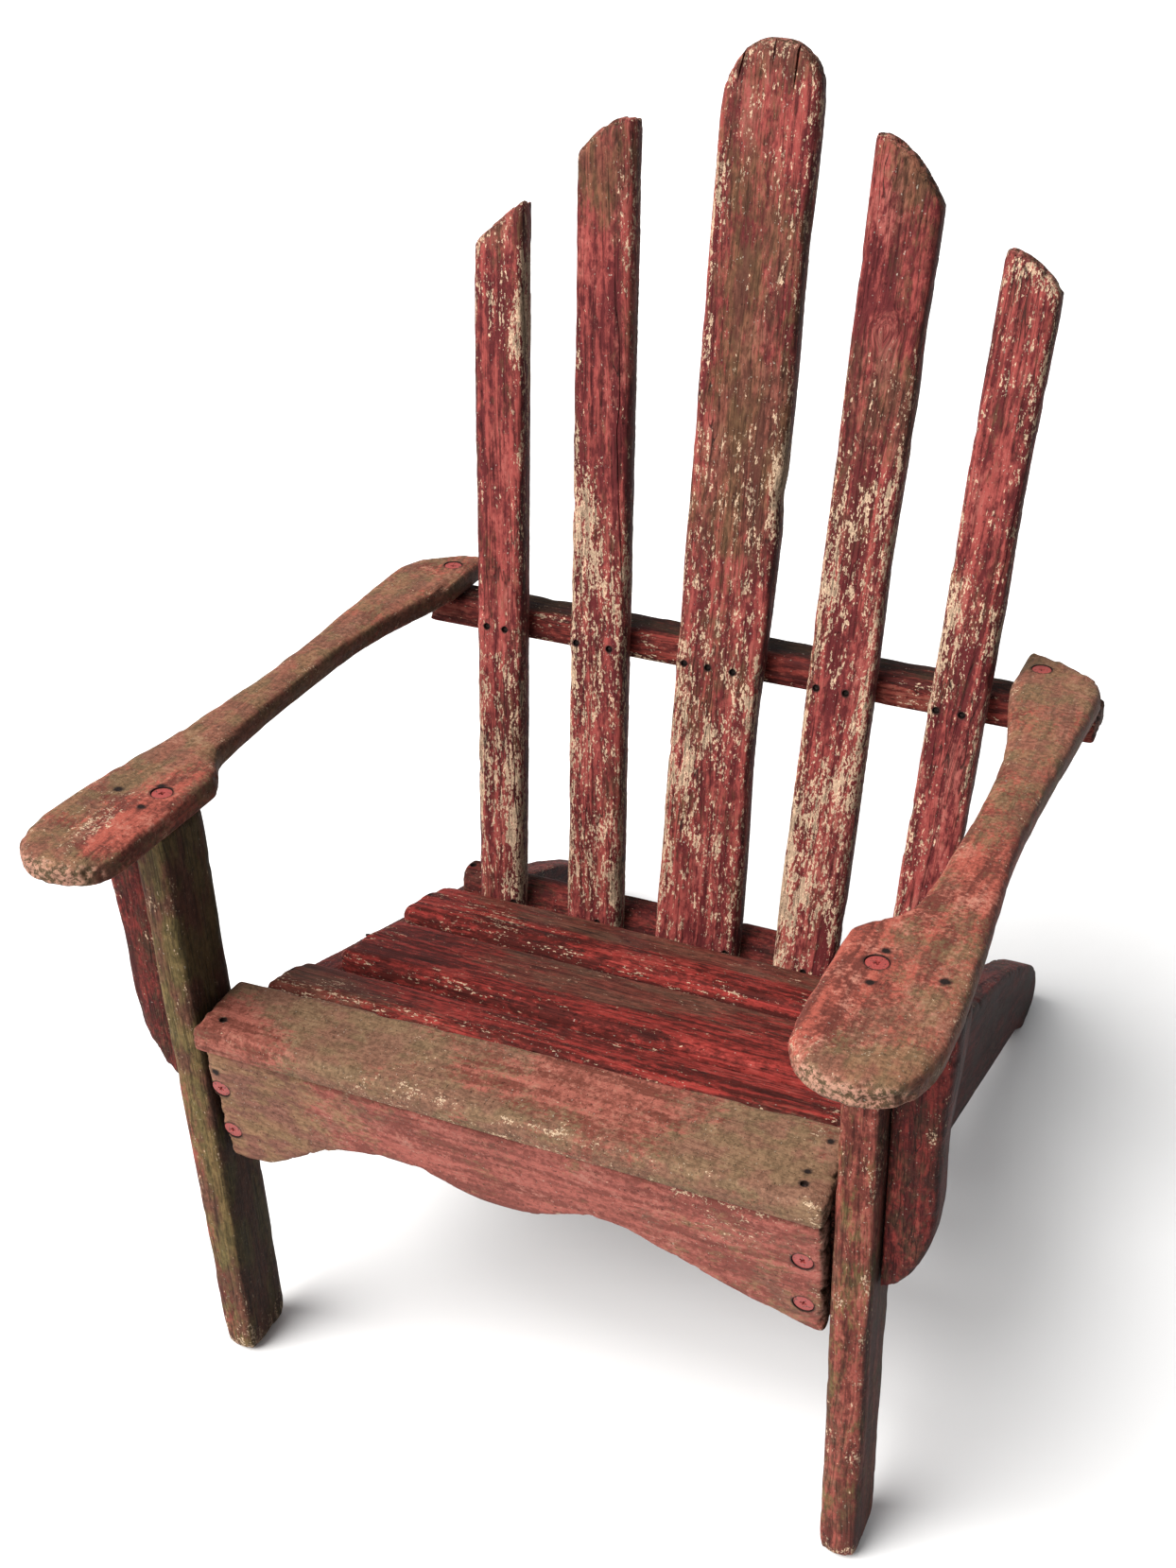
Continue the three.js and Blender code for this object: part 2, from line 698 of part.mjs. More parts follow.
function fastenCorbelsAndRail() {
  const sunk = 0.6;
  const corbelNailX = LEG_OUTER_X + GAP + 14.4;
  const railNail = { x: 117.4, length: 25 };
  SIDES.forEach(({ word, sign }) => {
    const outward = new THREE.Vector3(sign, 0, 0);
    const middleY = CORBEL.frontY + CORBEL.thickness / 2;
    const head = new THREE.Vector3(sign * corbelNailX, middleY, CORBEL.nailZ);
    addNail(`corbel_nail_${word}`, head, outward, [`corbel_${word}`, `front_leg_${word}`]);
  });
  const y = backRearY(LOWER_RAIL.topZ) + GAP + LOWER_RAIL.depth / 2;
  const head = new THREE.Vector3(-railNail.x, y, LOWER_RAIL.topZ - sunk);
  addNail('rail_nail_left', head, AXIS_Z, ['back_rail_lower', 'stringer_left'], railNail.length);
  const other = head.clone().setX(railNail.x);
  addNail('rail_nail_right', other, AXIS_Z, ['back_rail_lower', 'stringer_right'], railNail.length);
}

// ---------- build ----------

makeLegs();
makeArms();
makeCorbels();
makeStringers();
makeApron();
makeSeatSlats();
makeUpperRail();
makeLowerRail();
makeBackSlats();
fastenArms();
fastenApron();
fastenLegs();
fastenSeat();
fastenBack();
fastenCorbelsAndRail();

wood.forEach((entry, name) => {
  const mesh = new THREE.Mesh(toGeometry(entry.solid), finish(entry.finish));
  mesh.name = name;
  chair.add(mesh);
});

fasteners.forEach((piece) => {
  const mesh = new THREE.Mesh(piece.geometry, finish(piece.finish));
  mesh.name = piece.name;
  chair.add(mesh);
});

const outline = new THREE.Box3().setFromObject(chair);
const middleY = (outline.min.y + outline.max.y) / 2;
chair.children.forEach((mesh) => mesh.geometry.translate(0, -middleY, 0));

export default chair;
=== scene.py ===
"""Weathered child's adirondack chair: worn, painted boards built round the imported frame.

Lengths are metres, except inside board meshing and grain coordinates, which are
millimetres because the wear of old paint is easiest to think of at that size.
"""

import itertools
import logging
import math
from dataclasses import dataclass, field
from enum import Enum

import bmesh
import bpy
import numpy as np
from mathutils import Matrix, Vector


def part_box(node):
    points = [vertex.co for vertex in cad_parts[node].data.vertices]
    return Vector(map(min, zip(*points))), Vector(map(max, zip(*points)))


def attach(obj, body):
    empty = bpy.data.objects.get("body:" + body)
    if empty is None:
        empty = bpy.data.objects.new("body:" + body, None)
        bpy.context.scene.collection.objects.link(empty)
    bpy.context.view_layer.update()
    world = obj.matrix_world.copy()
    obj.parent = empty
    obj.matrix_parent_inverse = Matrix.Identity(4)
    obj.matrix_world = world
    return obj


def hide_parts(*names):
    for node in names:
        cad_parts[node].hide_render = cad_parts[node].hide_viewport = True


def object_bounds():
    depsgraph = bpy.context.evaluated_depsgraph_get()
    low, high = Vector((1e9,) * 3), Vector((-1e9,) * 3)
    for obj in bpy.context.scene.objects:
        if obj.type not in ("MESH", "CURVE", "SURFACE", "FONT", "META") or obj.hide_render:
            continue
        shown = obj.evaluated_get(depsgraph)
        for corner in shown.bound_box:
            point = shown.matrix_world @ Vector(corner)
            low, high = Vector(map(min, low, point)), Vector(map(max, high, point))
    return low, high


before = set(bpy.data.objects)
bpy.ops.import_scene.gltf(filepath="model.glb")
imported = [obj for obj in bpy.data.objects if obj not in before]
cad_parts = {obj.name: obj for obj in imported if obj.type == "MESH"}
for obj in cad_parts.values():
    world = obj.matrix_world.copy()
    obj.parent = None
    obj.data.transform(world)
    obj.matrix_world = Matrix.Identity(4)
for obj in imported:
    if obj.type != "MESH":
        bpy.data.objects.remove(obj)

LOG = logging.getLogger("chair")
CAD_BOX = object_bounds()
MM = 0.001
BODY = "root"

VOXEL = 1.3  # size of the working mesh's faces, mm
SIDES = ("left", "right")
SLATS = 5


class Mark(Enum):
    """What years outdoors have done to a stretch of a board."""

    WORN = "worn"
    STAIN = "stain"


# ---------------------------------------------------------------- noise and small maths


def lattice_noise(points: np.ndarray, seed: int) -> np.ndarray:
    """Smooth value noise, the same on every run.

    Args:
        points: an array of places, three columns, in units of the noise's own grain.
        seed: which of many unlike noises to read.

    Returns:
        One value from 0 to 1 for each place.
    """
    corner = np.floor(points).astype(np.int64)
    share = points - corner
    share = share * share * (3 - 2 * share)
    total = np.zeros(len(points))
    for step in itertools.product((0, 1), repeat=3):
        cell = corner + np.array(step)
        mixed = cell[:, 0] * 374761393 + cell[:, 1] * 668265263 + cell[:, 2] * 1274126177 + seed * 974711
        mixed = (mixed ^ (mixed >> 13)) * 1103515245 & 0xFFFFFFFF
        mixed = (mixed ^ (mixed >> 16)) & 0xFFFFFF
        weight = np.prod(np.where(np.array(step) == 1, share, 1 - share), axis=1)
        total += weight * mixed / 0xFFFFFF
    return total


def ramp(values: np.ndarray, low: float, high: float) -> np.ndarray:
    """Smooth step of values from 0 at low to 1 at high."""
    share = np.clip((values - low) / (high - low), 0, 1)
    return share * share * (3 - 2 * share)


def unit(vector: Vector) -> Vector:
    """The vector at length one."""
    return vector.normalized()


# ---------------------------------------------------------------- node tree helpers


@dataclass
class Tree:
    """Short calls for adding and joining shader nodes in one node tree."""

    nodes: bpy.types.Nodes
    links: bpy.types.NodeLinks

    def feed(self, socket: bpy.types.NodeSocket, value: object) -> None:
        """Joins a socket to another socket, or sets it to a plain value.

        Args:
            socket: the input socket to fill.
            value: an output socket, a number or a tuple.
        """
        if isinstance(value, bpy.types.NodeSocket):
            self.links.new(value, socket)
        else:
            socket.default_value = value

    def math(self, operation: str, first: object, second: object = 0.0,
             clamp: bool = False) -> bpy.types.NodeSocket:
        """One Math node.

        Args:
            operation: the node's operation name.
            first: the first operand, a socket or a number.
            second: the second operand.
            clamp: whether the result stays between 0 and 1.

        Returns:
            The node's value.
        """
        node = self.nodes.new("ShaderNodeMath")
        node.operation = operation
        node.use_clamp = clamp
        self.feed(node.inputs[0], first)
        self.feed(node.inputs[1], second)
        return node.outputs[0]

    def step(self, value: object, low: object, high: object) -> bpy.types.NodeSocket:
        """Smooth step of a value.

        Args:
            value: what is measured.
            low: where the step begins, a socket or a number.
            high: where it ends.

        Returns:
            0 below low, 1 above high, smooth between them.
        """
        node = self.nodes.new("ShaderNodeMapRange")
        node.interpolation_type = "SMOOTHSTEP"
        self.feed(node.inputs["Value"], value)
        self.feed(node.inputs["From Min"], low)
        self.feed(node.inputs["From Max"], high)
        return node.outputs["Result"]

    def mix(self, share: object, first: object, second: object, blend: str = "MIX") -> bpy.types.NodeSocket:
        """Mixes two colours.

        Args:
            share: how much of the second colour, a socket or a number.
            first: the colour underneath.
            second: the colour on top.
            blend: the blend mode's name.

        Returns:
            The mixed colour.
        """
        node = self.nodes.new("ShaderNodeMix")
        node.data_type = "RGBA"
        node.blend_type = blend
        colour_inputs = [socket for socket in node.inputs if socket.type == "RGBA"]
        self.feed(node.inputs[0], share)
        self.feed(colour_inputs[0], first)
        self.feed(colour_inputs[1], second)
        return next(socket for socket in node.outputs if socket.type == "RGBA")

    def noise(self, vector: object, scale: float, detail: float = 2.0,
              rough: float = 0.5) -> bpy.types.NodeSocket:
        """Noise about a place.

        Args:
            vector: the place, a vector socket.
            scale: how many cells to a millimetre.
            detail: octaves of finer noise.
            rough: how strong the finer octaves are.

        Returns:
            A value round one half.
        """
        node = self.nodes.new("ShaderNodeTexNoise")
        self.feed(node.inputs["Vector"], vector)
        node.inputs["Scale"].default_value = scale
        node.inputs["Detail"].default_value = detail
        node.inputs["Roughness"].default_value = rough
        return node.outputs[0]

    def stretched(self, vector: object, stretch: float, shift: float = 0.0) -> bpy.types.NodeSocket:
        """A place squeezed along the grain, so that noise read there is drawn out along it.

        Args:
            vector: the place, across, through and along the board.
            stretch: how many times longer than wide the noise becomes.
            shift: moves the place, so that two noises don't repeat each other.

        Returns:
            The squeezed place.
        """
        node = self.nodes.new("ShaderNodeMapping")
        self.feed(node.inputs["Vector"], vector)
        node.inputs["Scale"].default_value = (1.0, 1.0, 1.0 / stretch)
        node.inputs["Location"].default_value = (shift, shift * 0.7, shift * 0.3)
        return node.outputs[0]


class GroupBuilder:
    """Makes a shader node group with named inputs and outputs."""

    def __init__(self, name: str) -> None:
        """Opens an empty group.

        Args:
            name: the group's name.
        """
        self.group = bpy.data.node_groups.new(name, "ShaderNodeTree")
        self.inside = self.group.nodes.new("NodeGroupInput")
        self.outside = self.group.nodes.new("NodeGroupOutput")
        self.tree = Tree(self.group.nodes, self.group.links)

    def takes(self, name: str, kind: str, value: object = None) -> bpy.types.NodeSocket:
        """Adds an input.

        Args:
            name: the socket's name.
            kind: Float, Vector or Color.
            value: what it holds when nothing is joined to it.

        Returns:
            The socket to read inside the group.
        """
        socket = self.group.interface.new_socket(name=name, in_out="INPUT", socket_type=f"NodeSocket{kind}")
        if value is not None:
            socket.default_value = value
        return self.inside.outputs[name]

    def gives(self, name: str, kind: str, value: bpy.types.NodeSocket) -> None:
        """Adds an output and fills it.

        Args:
            name: the socket's name.
            kind: Float, Vector or Color.
            value: the socket that it passes on.
        """
        self.group.interface.new_socket(name=name, in_out="OUTPUT", socket_type=f"NodeSocket{kind}")
        self.tree.links.new(value, self.outside.inputs[name])


def make_grain_group() -> bpy.types.ShaderNodeTree:
    """Raised and sunken fibres along a board.

    Returns:
        A group that turns a place into fine fibre lines, broad growth bands and open checks.
    """
    build = GroupBuilder("wood_grain")
    tree = build.tree
    place = build.takes("Place", "Vector")
    wander = tree.noise(tree.stretched(place, 9.0, 3.1), 0.09, 2.0)
    bend = tree.nodes.new("ShaderNodeCombineXYZ")
    tree.feed(bend.inputs[0], tree.math("MULTIPLY", tree.math("SUBTRACT", wander, 0.5), 9.0))
    moved = tree.nodes.new("ShaderNodeVectorMath")
    tree.feed(moved.inputs[0], place)
    tree.feed(moved.inputs[1], bend.outputs[0])
    fibres = tree.noise(tree.stretched(moved.outputs[0], 26.0), 1.05, 3.0, 0.62)
    bands = tree.noise(tree.stretched(moved.outputs[0], 34.0, 11.0), 0.3, 1.0, 0.4)
    split = tree.noise(tree.stretched(moved.outputs[0], 16.0, 23.0), 0.42, 1.0, 0.3)
    ridge = tree.math("ABSOLUTE", tree.math("SUBTRACT", split, 0.5))
    rare = tree.step(tree.noise(tree.stretched(place, 3.0, 41.0), 0.035, 1.0), 0.5, 0.62)
    checks = tree.math("MULTIPLY", tree.math("SUBTRACT", 1.0, tree.step(ridge, 0.004, 0.016)), rare)
    build.gives("Fibres", "Float", fibres)
    build.gives("Bands", "Float", bands)
    build.gives("Checks", "Float", checks)
    return build.group


def make_flaking_group() -> bpy.types.ShaderNodeTree:
    """Where paint has come away.

    Returns:
        A group that gives masks for undercoat showing, bare timber showing, small pits and dust.
    """
    build = GroupBuilder("paint_flaking")
    tree = build.tree
    place = build.takes("Place", "Vector")
    wear = build.takes("Wear", "Float", 0.0)
    amount = build.takes("Amount", "Float", 0.5)
    streak = tree.math("SUBTRACT", tree.noise(tree.stretched(place, 4.4, 7.0), 0.34, 6.0, 0.72), 0.5)
    speck = tree.math("SUBTRACT", tree.noise(tree.stretched(place, 2.2, 17.0), 1.05, 3.0, 0.66), 0.5)
    patch = tree.math("SUBTRACT", tree.noise(tree.stretched(place, 2.0, 29.0), 0.03, 2.0, 0.5), 0.5)
    value = tree.math("ADD", streak, tree.math("MULTIPLY", speck, 0.9))
    value = tree.math("ADD", value, tree.math("MULTIPLY", patch, 0.5))
    value = tree.math("ADD", value, tree.math("MULTIPLY", wear, 0.1))
    limit = tree.math("SUBTRACT", 0.31, tree.math("MULTIPLY", amount, 0.24))
    undercoat = tree.step(value, limit, tree.math("ADD", limit, 0.055))
    bare = tree.step(value, tree.math("ADD", limit, 0.09), tree.math("ADD", limit, 0.15))
    pit = tree.noise(tree.stretched(place, 1.5, 53.0), 0.7, 2.0, 0.55)
    dust = tree.noise(tree.stretched(place, 1.3, 67.0), 0.85, 1.0, 0.5)
    build.gives("Undercoat", "Float", undercoat)
    build.gives("Bare", "Float", bare)
    build.gives("Pits", "Float", tree.math("SUBTRACT", 1.0, tree.step(pit, 0.27, 0.35)))
    build.gives("Dust", "Float", tree.step(dust, 0.73, 0.79))
    return build.group


def make_patina_group() -> bpy.types.ShaderNodeTree:
    """Brown and green dirt of years outdoors.

    Returns:
        A group that gives a mask for dirt, its hue, a slow change of shade and a fine mottle.
    """
    build = GroupBuilder("outdoor_patina")
    tree = build.tree
    place = build.takes("Place", "Vector")
    cover = build.takes("Cover", "Float", 0.3)
    stain = build.takes("Stain", "Float", 0.0)
    cloud = tree.noise(tree.stretched(place, 2.2, 61.0), 0.045, 5.0, 0.68)
    fine = tree.noise(tree.stretched(place, 4.5, 71.0), 0.7, 4.0, 0.7)
    value = tree.math("ADD", tree.math("MULTIPLY", cloud, 0.55), tree.math("MULTIPLY", fine, 0.45))
    value = tree.math("ADD", value, tree.math("MULTIPLY", stain, 0.12))
    limit = tree.math("SUBTRACT", 0.62, tree.math("MULTIPLY", cover, 0.26))
    build.gives("Dirt", "Float", tree.step(value, limit, tree.math("ADD", limit, 0.14)))
    build.gives("Hue", "Float", tree.noise(tree.stretched(place, 3.0, 97.0), 0.09, 3.0, 0.6))
    build.gives("Shade", "Float", tree.noise(tree.stretched(place, 3.2, 83.0), 0.07, 4.0, 0.66))
    build.gives("Mottle", "Float", tree.noise(tree.stretched(place, 2.4, 103.0), 0.5, 5.0, 0.72))
    return build.group


# ---------------------------------------------------------------- finishes

Colour = tuple[float, float, float, float]

DUST_COLOUR = (0.42, 0.36, 0.29, 1)  # pale specks that sit on the paint
SPLIT_SHADE_COLOUR = (0.02, 0.011, 0.009, 1)  # painted shade inside a fine split
HOLE_GRIME_AND_SHADE_COLOUR = (0.014, 0.009, 0.008, 1)  # grime round a nail or screw, and painted shade inside its bore and in empty nail holes
PAINT_SHEEN = 0.08  # chalky old paint hardly shines


def scaled(colour: Colour, factor: float) -> Colour:
    """The colour made lighter or darker."""
    return tuple(channel * factor for channel in colour[:3]) + (1.0,)


@dataclass(frozen=True)
class WeatheredPaint:
    """Old red paint over a cream undercoat on outdoor timber."""

    name: str
    slot: str
    paint_dark: Colour
    paint_light: Colour
    chalk: Colour
    undercoat: Colour = (0.70, 0.50, 0.34, 1)
    timber: Colour = (0.2, 0.135, 0.085, 1)
    patina: Colour = (0.115, 0.08, 0.036, 1)
    patina_brown: Colour = (0.10, 0.05, 0.03, 1)
    flaking: float = 0.5
    dirt: float = 0.3
    dirt_depth: float = 0.8
    chalkiness: float = 0.5
    grain_length: float = 1.0
    furrows: float = 0.8
    checking: float = 0.8
    # painted shade: how much faces turned to +X, away from the key light at the left, are darkened in the
    # colour
    painted_side_shade_strength: float = 0.75
    roughness: float = 0.62

    def material(self, groups: dict[str, bpy.types.ShaderNodeTree]) -> bpy.types.Material:
        """Builds the finish as a node material.

        Args:
            groups: the shared effects, by name.

        Returns:
            The material.
        """
        made = bpy.data.materials.new(self.name)
        made.use_nodes = True
        nodes, links = made.node_tree.nodes, made.node_tree.links
        tree = Tree(nodes, links)
        shader = nodes["Principled BSDF"]
        kept = {}
        for key in ("board_place", "worn", "stain", "cut_end", "painted_side_shade", "hole_grime_and_shade"):
            kept[key] = nodes.new("ShaderNodeAttribute")
            kept[key].attribute_name = key
        place = tree.stretched(kept["board_place"].outputs["Vector"], self.grain_length)
        effect = {}
        for key, group in groups.items():
            effect[key] = nodes.new("ShaderNodeGroup")
            effect[key].node_tree = group
            links.new(place, effect[key].inputs["Place"])
        links.new(kept["worn"].outputs["Fac"], effect["flaking"].inputs["Wear"])
        links.new(kept["stain"].outputs["Fac"], effect["patina"].inputs["Stain"])
        effect["flaking"].inputs["Amount"].default_value = self.flaking
        effect["patina"].inputs["Cover"].default_value = self.dirt
        marks = {key: node.outputs["Fac"] for key, node in kept.items()}
        links.new(self._colour(tree, effect, marks), shader.inputs["Base Color"])
        links.new(self._roughness(tree, effect), shader.inputs["Roughness"])
        shader.inputs["Specular IOR Level"].default_value = PAINT_SHEEN
        bump = nodes.new("ShaderNodeBump")
        bump.inputs["Strength"].default_value = 0.9
        bump.inputs["Distance"].default_value = 0.6 * MM
        links.new(self._height(tree, effect), bump.inputs["Height"])
        links.new(bump.outputs["Normal"], shader.inputs["Normal"])
        return made

    def _paint(self, tree: Tree, effect: dict) -> bpy.types.NodeSocket:
        """The paint film with its fading and dirt.

        Args:
            tree: the material's nodes.
            effect: the shared effects' nodes, by name.

        Returns:
            The paint's colour.
        """
        grain, patina = effect["grain"], effect["patina"]
        shade = tree.math("MULTIPLY", grain.outputs["Bands"], 0.3)
        shade = tree.math("ADD", shade, tree.math("MULTIPLY", patina.outputs["Shade"], 0.3))
        shade = tree.math("ADD", shade, tree.math("MULTIPLY", patina.outputs["Mottle"], 0.4))
        paint = tree.mix(tree.step(shade, 0.44, 0.57), self.paint_dark, self.paint_light)
        bloom = tree.math("ADD", tree.math("MULTIPLY", patina.outputs["Shade"], 0.5),
                          tree.math("MULTIPLY", patina.outputs["Mottle"], 0.5))
        paint = tree.mix(tree.math("MULTIPLY", tree.step(bloom, 0.52, 0.66), self.chalkiness), paint,
                         self.chalk)
        dirt = tree.mix(tree.step(patina.outputs["Hue"], 0.42, 0.58), self.patina, self.patina_brown)
        dirt = tree.mix(tree.step(patina.outputs["Mottle"], 0.35, 0.65), scaled_mix(tree, dirt, 0.55), dirt)
        return tree.mix(tree.math("MULTIPLY", patina.outputs["Dirt"], self.dirt_depth), paint, dirt)

    def _colour(self, tree: Tree, effect: dict, marks: dict) -> bpy.types.NodeSocket:
        """The layers of colour, from the paint down to the timber.

        Args:
            tree: the material's nodes.
            effect: the shared effects' nodes, by name.
            marks: what the mesh knows of wear, ends, painted shade on right-hand sides, and grime with
                painted shade in holes, by name.

        Returns:
            The finished colour.
        """
        grain, flaking, patina = effect["grain"], effect["flaking"], effect["patina"]
        fibres = grain.outputs["Fibres"]
        layered = self._paint(tree, effect)
        cream = tree.mix(tree.step(patina.outputs["Mottle"], 0.36, 0.64), scaled(self.undercoat, 0.62),
                         self.undercoat)
        timber = tree.mix(tree.step(fibres, 0.4, 0.6), scaled(self.timber, 0.45), self.timber)
        layered = tree.mix(tree.math("MULTIPLY", flaking.outputs["Undercoat"], 0.88), layered, cream)
        layered = tree.mix(tree.math("MULTIPLY", flaking.outputs["Bare"], 0.62), layered, timber)
        end_wood = tree.mix(tree.step(patina.outputs["Mottle"], 0.44, 0.56), scaled(self.patina, 0.35),
                            self.chalk)
        layered = tree.mix(tree.math("MULTIPLY", marks["cut_end"], 0.7), layered, end_wood)
        layered = tree.mix(tree.math("MULTIPLY", flaking.outputs["Dust"], 0.6), layered, DUST_COLOUR)
        furrow = tree.math("SUBTRACT", 1.0, tree.step(fibres, 0.34, 0.52))
        layered = tree.mix(tree.math("MULTIPLY", furrow, self.furrows), layered,
                           scaled_mix(tree, layered, 0.32))
        layered = tree.mix(tree.math("MULTIPLY", flaking.outputs["Pits"], 0.6), layered,
                           scaled_mix(tree, layered, 0.3))
        # painted shade: faces turned to +X, away from the key light, are darkened
        painted_side_shade = tree.math("MULTIPLY", marks["painted_side_shade"], self.painted_side_shade_strength)
        layered = tree.mix(painted_side_shade, layered, scaled_mix(tree, layered, 0.22))
        # painted shade inside fine splits
        layered = tree.mix(tree.math("MULTIPLY", grain.outputs["Checks"], self.checking), layered,
                           SPLIT_SHADE_COLOUR)
        # grime and painted shade in and round holes
        return tree.mix(marks["hole_grime_and_shade"], layered, HOLE_GRIME_AND_SHADE_COLOUR)

    def _roughness(self, tree: Tree, effect: dict) -> bpy.types.NodeSocket:
        """Paint is smoother than undercoat and timber.

        Args:
            tree: the material's nodes.
            effect: the shared effects' nodes, by name.

        Returns:
            The roughness over the surface.
        """
        lift = tree.math("MULTIPLY", effect["flaking"].outputs["Undercoat"], 0.22)
        uneven = tree.math("MULTIPLY", effect["patina"].outputs["Shade"], 0.26)
        return tree.math("ADD", tree.math("ADD", lift, uneven), self.roughness - 0.1, clamp=True)

    def _height(self, tree: Tree, effect: dict) -> bpy.types.NodeSocket:
        """Relief of fibres, the paint film's edges, pits and checks.

        Args:
            tree: the material's nodes.
            effect: the shared effects' nodes, by name.

        Returns:
            The height, as a share of the bump's distance.
        """
        grain, flaking, patina = effect["grain"], effect["flaking"], effect["patina"]
        height = tree.math("MULTIPLY", grain.outputs["Fibres"], 0.4 + 0.6 * self.furrows)
        height = tree.math("ADD", height, tree.math("MULTIPLY", patina.outputs["Mottle"], 0.75))
        height = tree.math("ADD", height, tree.math("MULTIPLY", grain.outputs["Bands"], 0.35))
        height = tree.math("SUBTRACT", height, tree.math("MULTIPLY", flaking.outputs["Undercoat"], 0.17))
        height = tree.math("SUBTRACT", height, tree.math("MULTIPLY", flaking.outputs["Bare"], 0.15))
        height = tree.math("ADD", height, tree.math("MULTIPLY", flaking.outputs["Dust"], 0.12))
        height = tree.math("SUBTRACT", height, tree.math("MULTIPLY", flaking.outputs["Pits"], 0.4))
        deep = tree.math("MULTIPLY", grain.outputs["Checks"], self.checking)
        return tree.math("SUBTRACT", height, deep)


def scaled_mix(tree: Tree, colour: bpy.types.NodeSocket, factor: float) -> bpy.types.NodeSocket:
    """A changing colour made darker.

    Args:
        tree: the material's nodes.
        colour: the colour.
        factor: what is left of its brightness.

    Returns:
        The darker colour.
    """
    return tree.mix(1.0 - factor, colour, (0.0, 0.0, 0.0, 1.0))


@dataclass(frozen=True)
class AgedMetal:
    """A screw or nail with rust and the remains of the chair's paint."""

    name: str
    slot: str
    metal: Colour
    coat: Colour
    coated: float
    roughness: float = 0.5

    def material(self) -> bpy.types.Material:
        """Builds the finish as a node material.

        Returns:
            The material.
        """
        made = bpy.data.materials.new(self.name)
        made.use_nodes = True
        nodes, links = made.node_tree.nodes, made.node_tree.links
        tree = Tree(nodes, links)
        shader = nodes["Principled BSDF"]
        place = nodes.new("ShaderNodeTexCoord").outputs["Object"]
        cloud = tree.noise(place, 900.0, 4.0, 0.65)
        grit = tree.noise(place, 3200.0, 2.0, 0.6)
        limit = 0.5 + (0.5 - self.coated) * 0.5
        coat = tree.step(cloud, limit - 0.04, limit + 0.04)
        rust = tree.mix(tree.step(grit, 0.4, 0.62), self.metal, tuple(c * 0.4 for c in self.metal[:3]) + (1,))
        painted = tree.mix(tree.step(grit, 0.35, 0.7), tuple(c * 0.6 for c in self.coat[:3]) + (1,),
                           self.coat)
        links.new(tree.mix(coat, rust, painted), shader.inputs["Base Color"])
        links.new(tree.math("MULTIPLY", tree.math("SUBTRACT", 1.0, coat), 0.7), shader.inputs["Metallic"])
        links.new(tree.math("ADD", tree.math("MULTIPLY", grit, 0.3), self.roughness - 0.1),
                  shader.inputs["Roughness"])
        bump = nodes.new("ShaderNodeBump")
        bump.inputs["Strength"].default_value = 0.6
        bump.inputs["Distance"].default_value = 0.12 * MM
        links.new(tree.math("ADD", cloud, tree.math("MULTIPLY", grit, 0.5)), bump.inputs["Height"])
        links.new(bump.outputs["Normal"], shader.inputs["Normal"])
        return made


# ---------------------------------------------------------------- boards


@dataclass(frozen=True)
class Crack:
    """A split along the grain, on one face of a board.

    Places are shares of the board's length and width, from its low corner.
    """

    start: float
    end: float
    across: float
    width: float = 0.7
    depth: float = 3.0
    drift: float = 0.0


@dataclass(frozen=True)
class Patch:
    """A stretch of a board that is more worn or stained, or less so if strength is negative."""

    along: float
    across: float
    length: float
    width: float
    strength: float
    mark: Mark = Mark.WORN


@dataclass(frozen=True)
class Nibble:
    """A hollow worn into one long edge of a board; length is a share, depth is in millimetres."""

    along: float
    length: float
    depth: float
    right: bool = True


@dataclass(frozen=True)
class Knot:
    """A round knot that the grain flows round, at shares of the board; the radius is in millimetres."""

    along: float
    across: float
    radius: float


@dataclass(frozen=True)
class Hole:
    """An empty nail hole, at shares of the board's length and width."""

    along: float
    across: float
    radius: float = 1.1


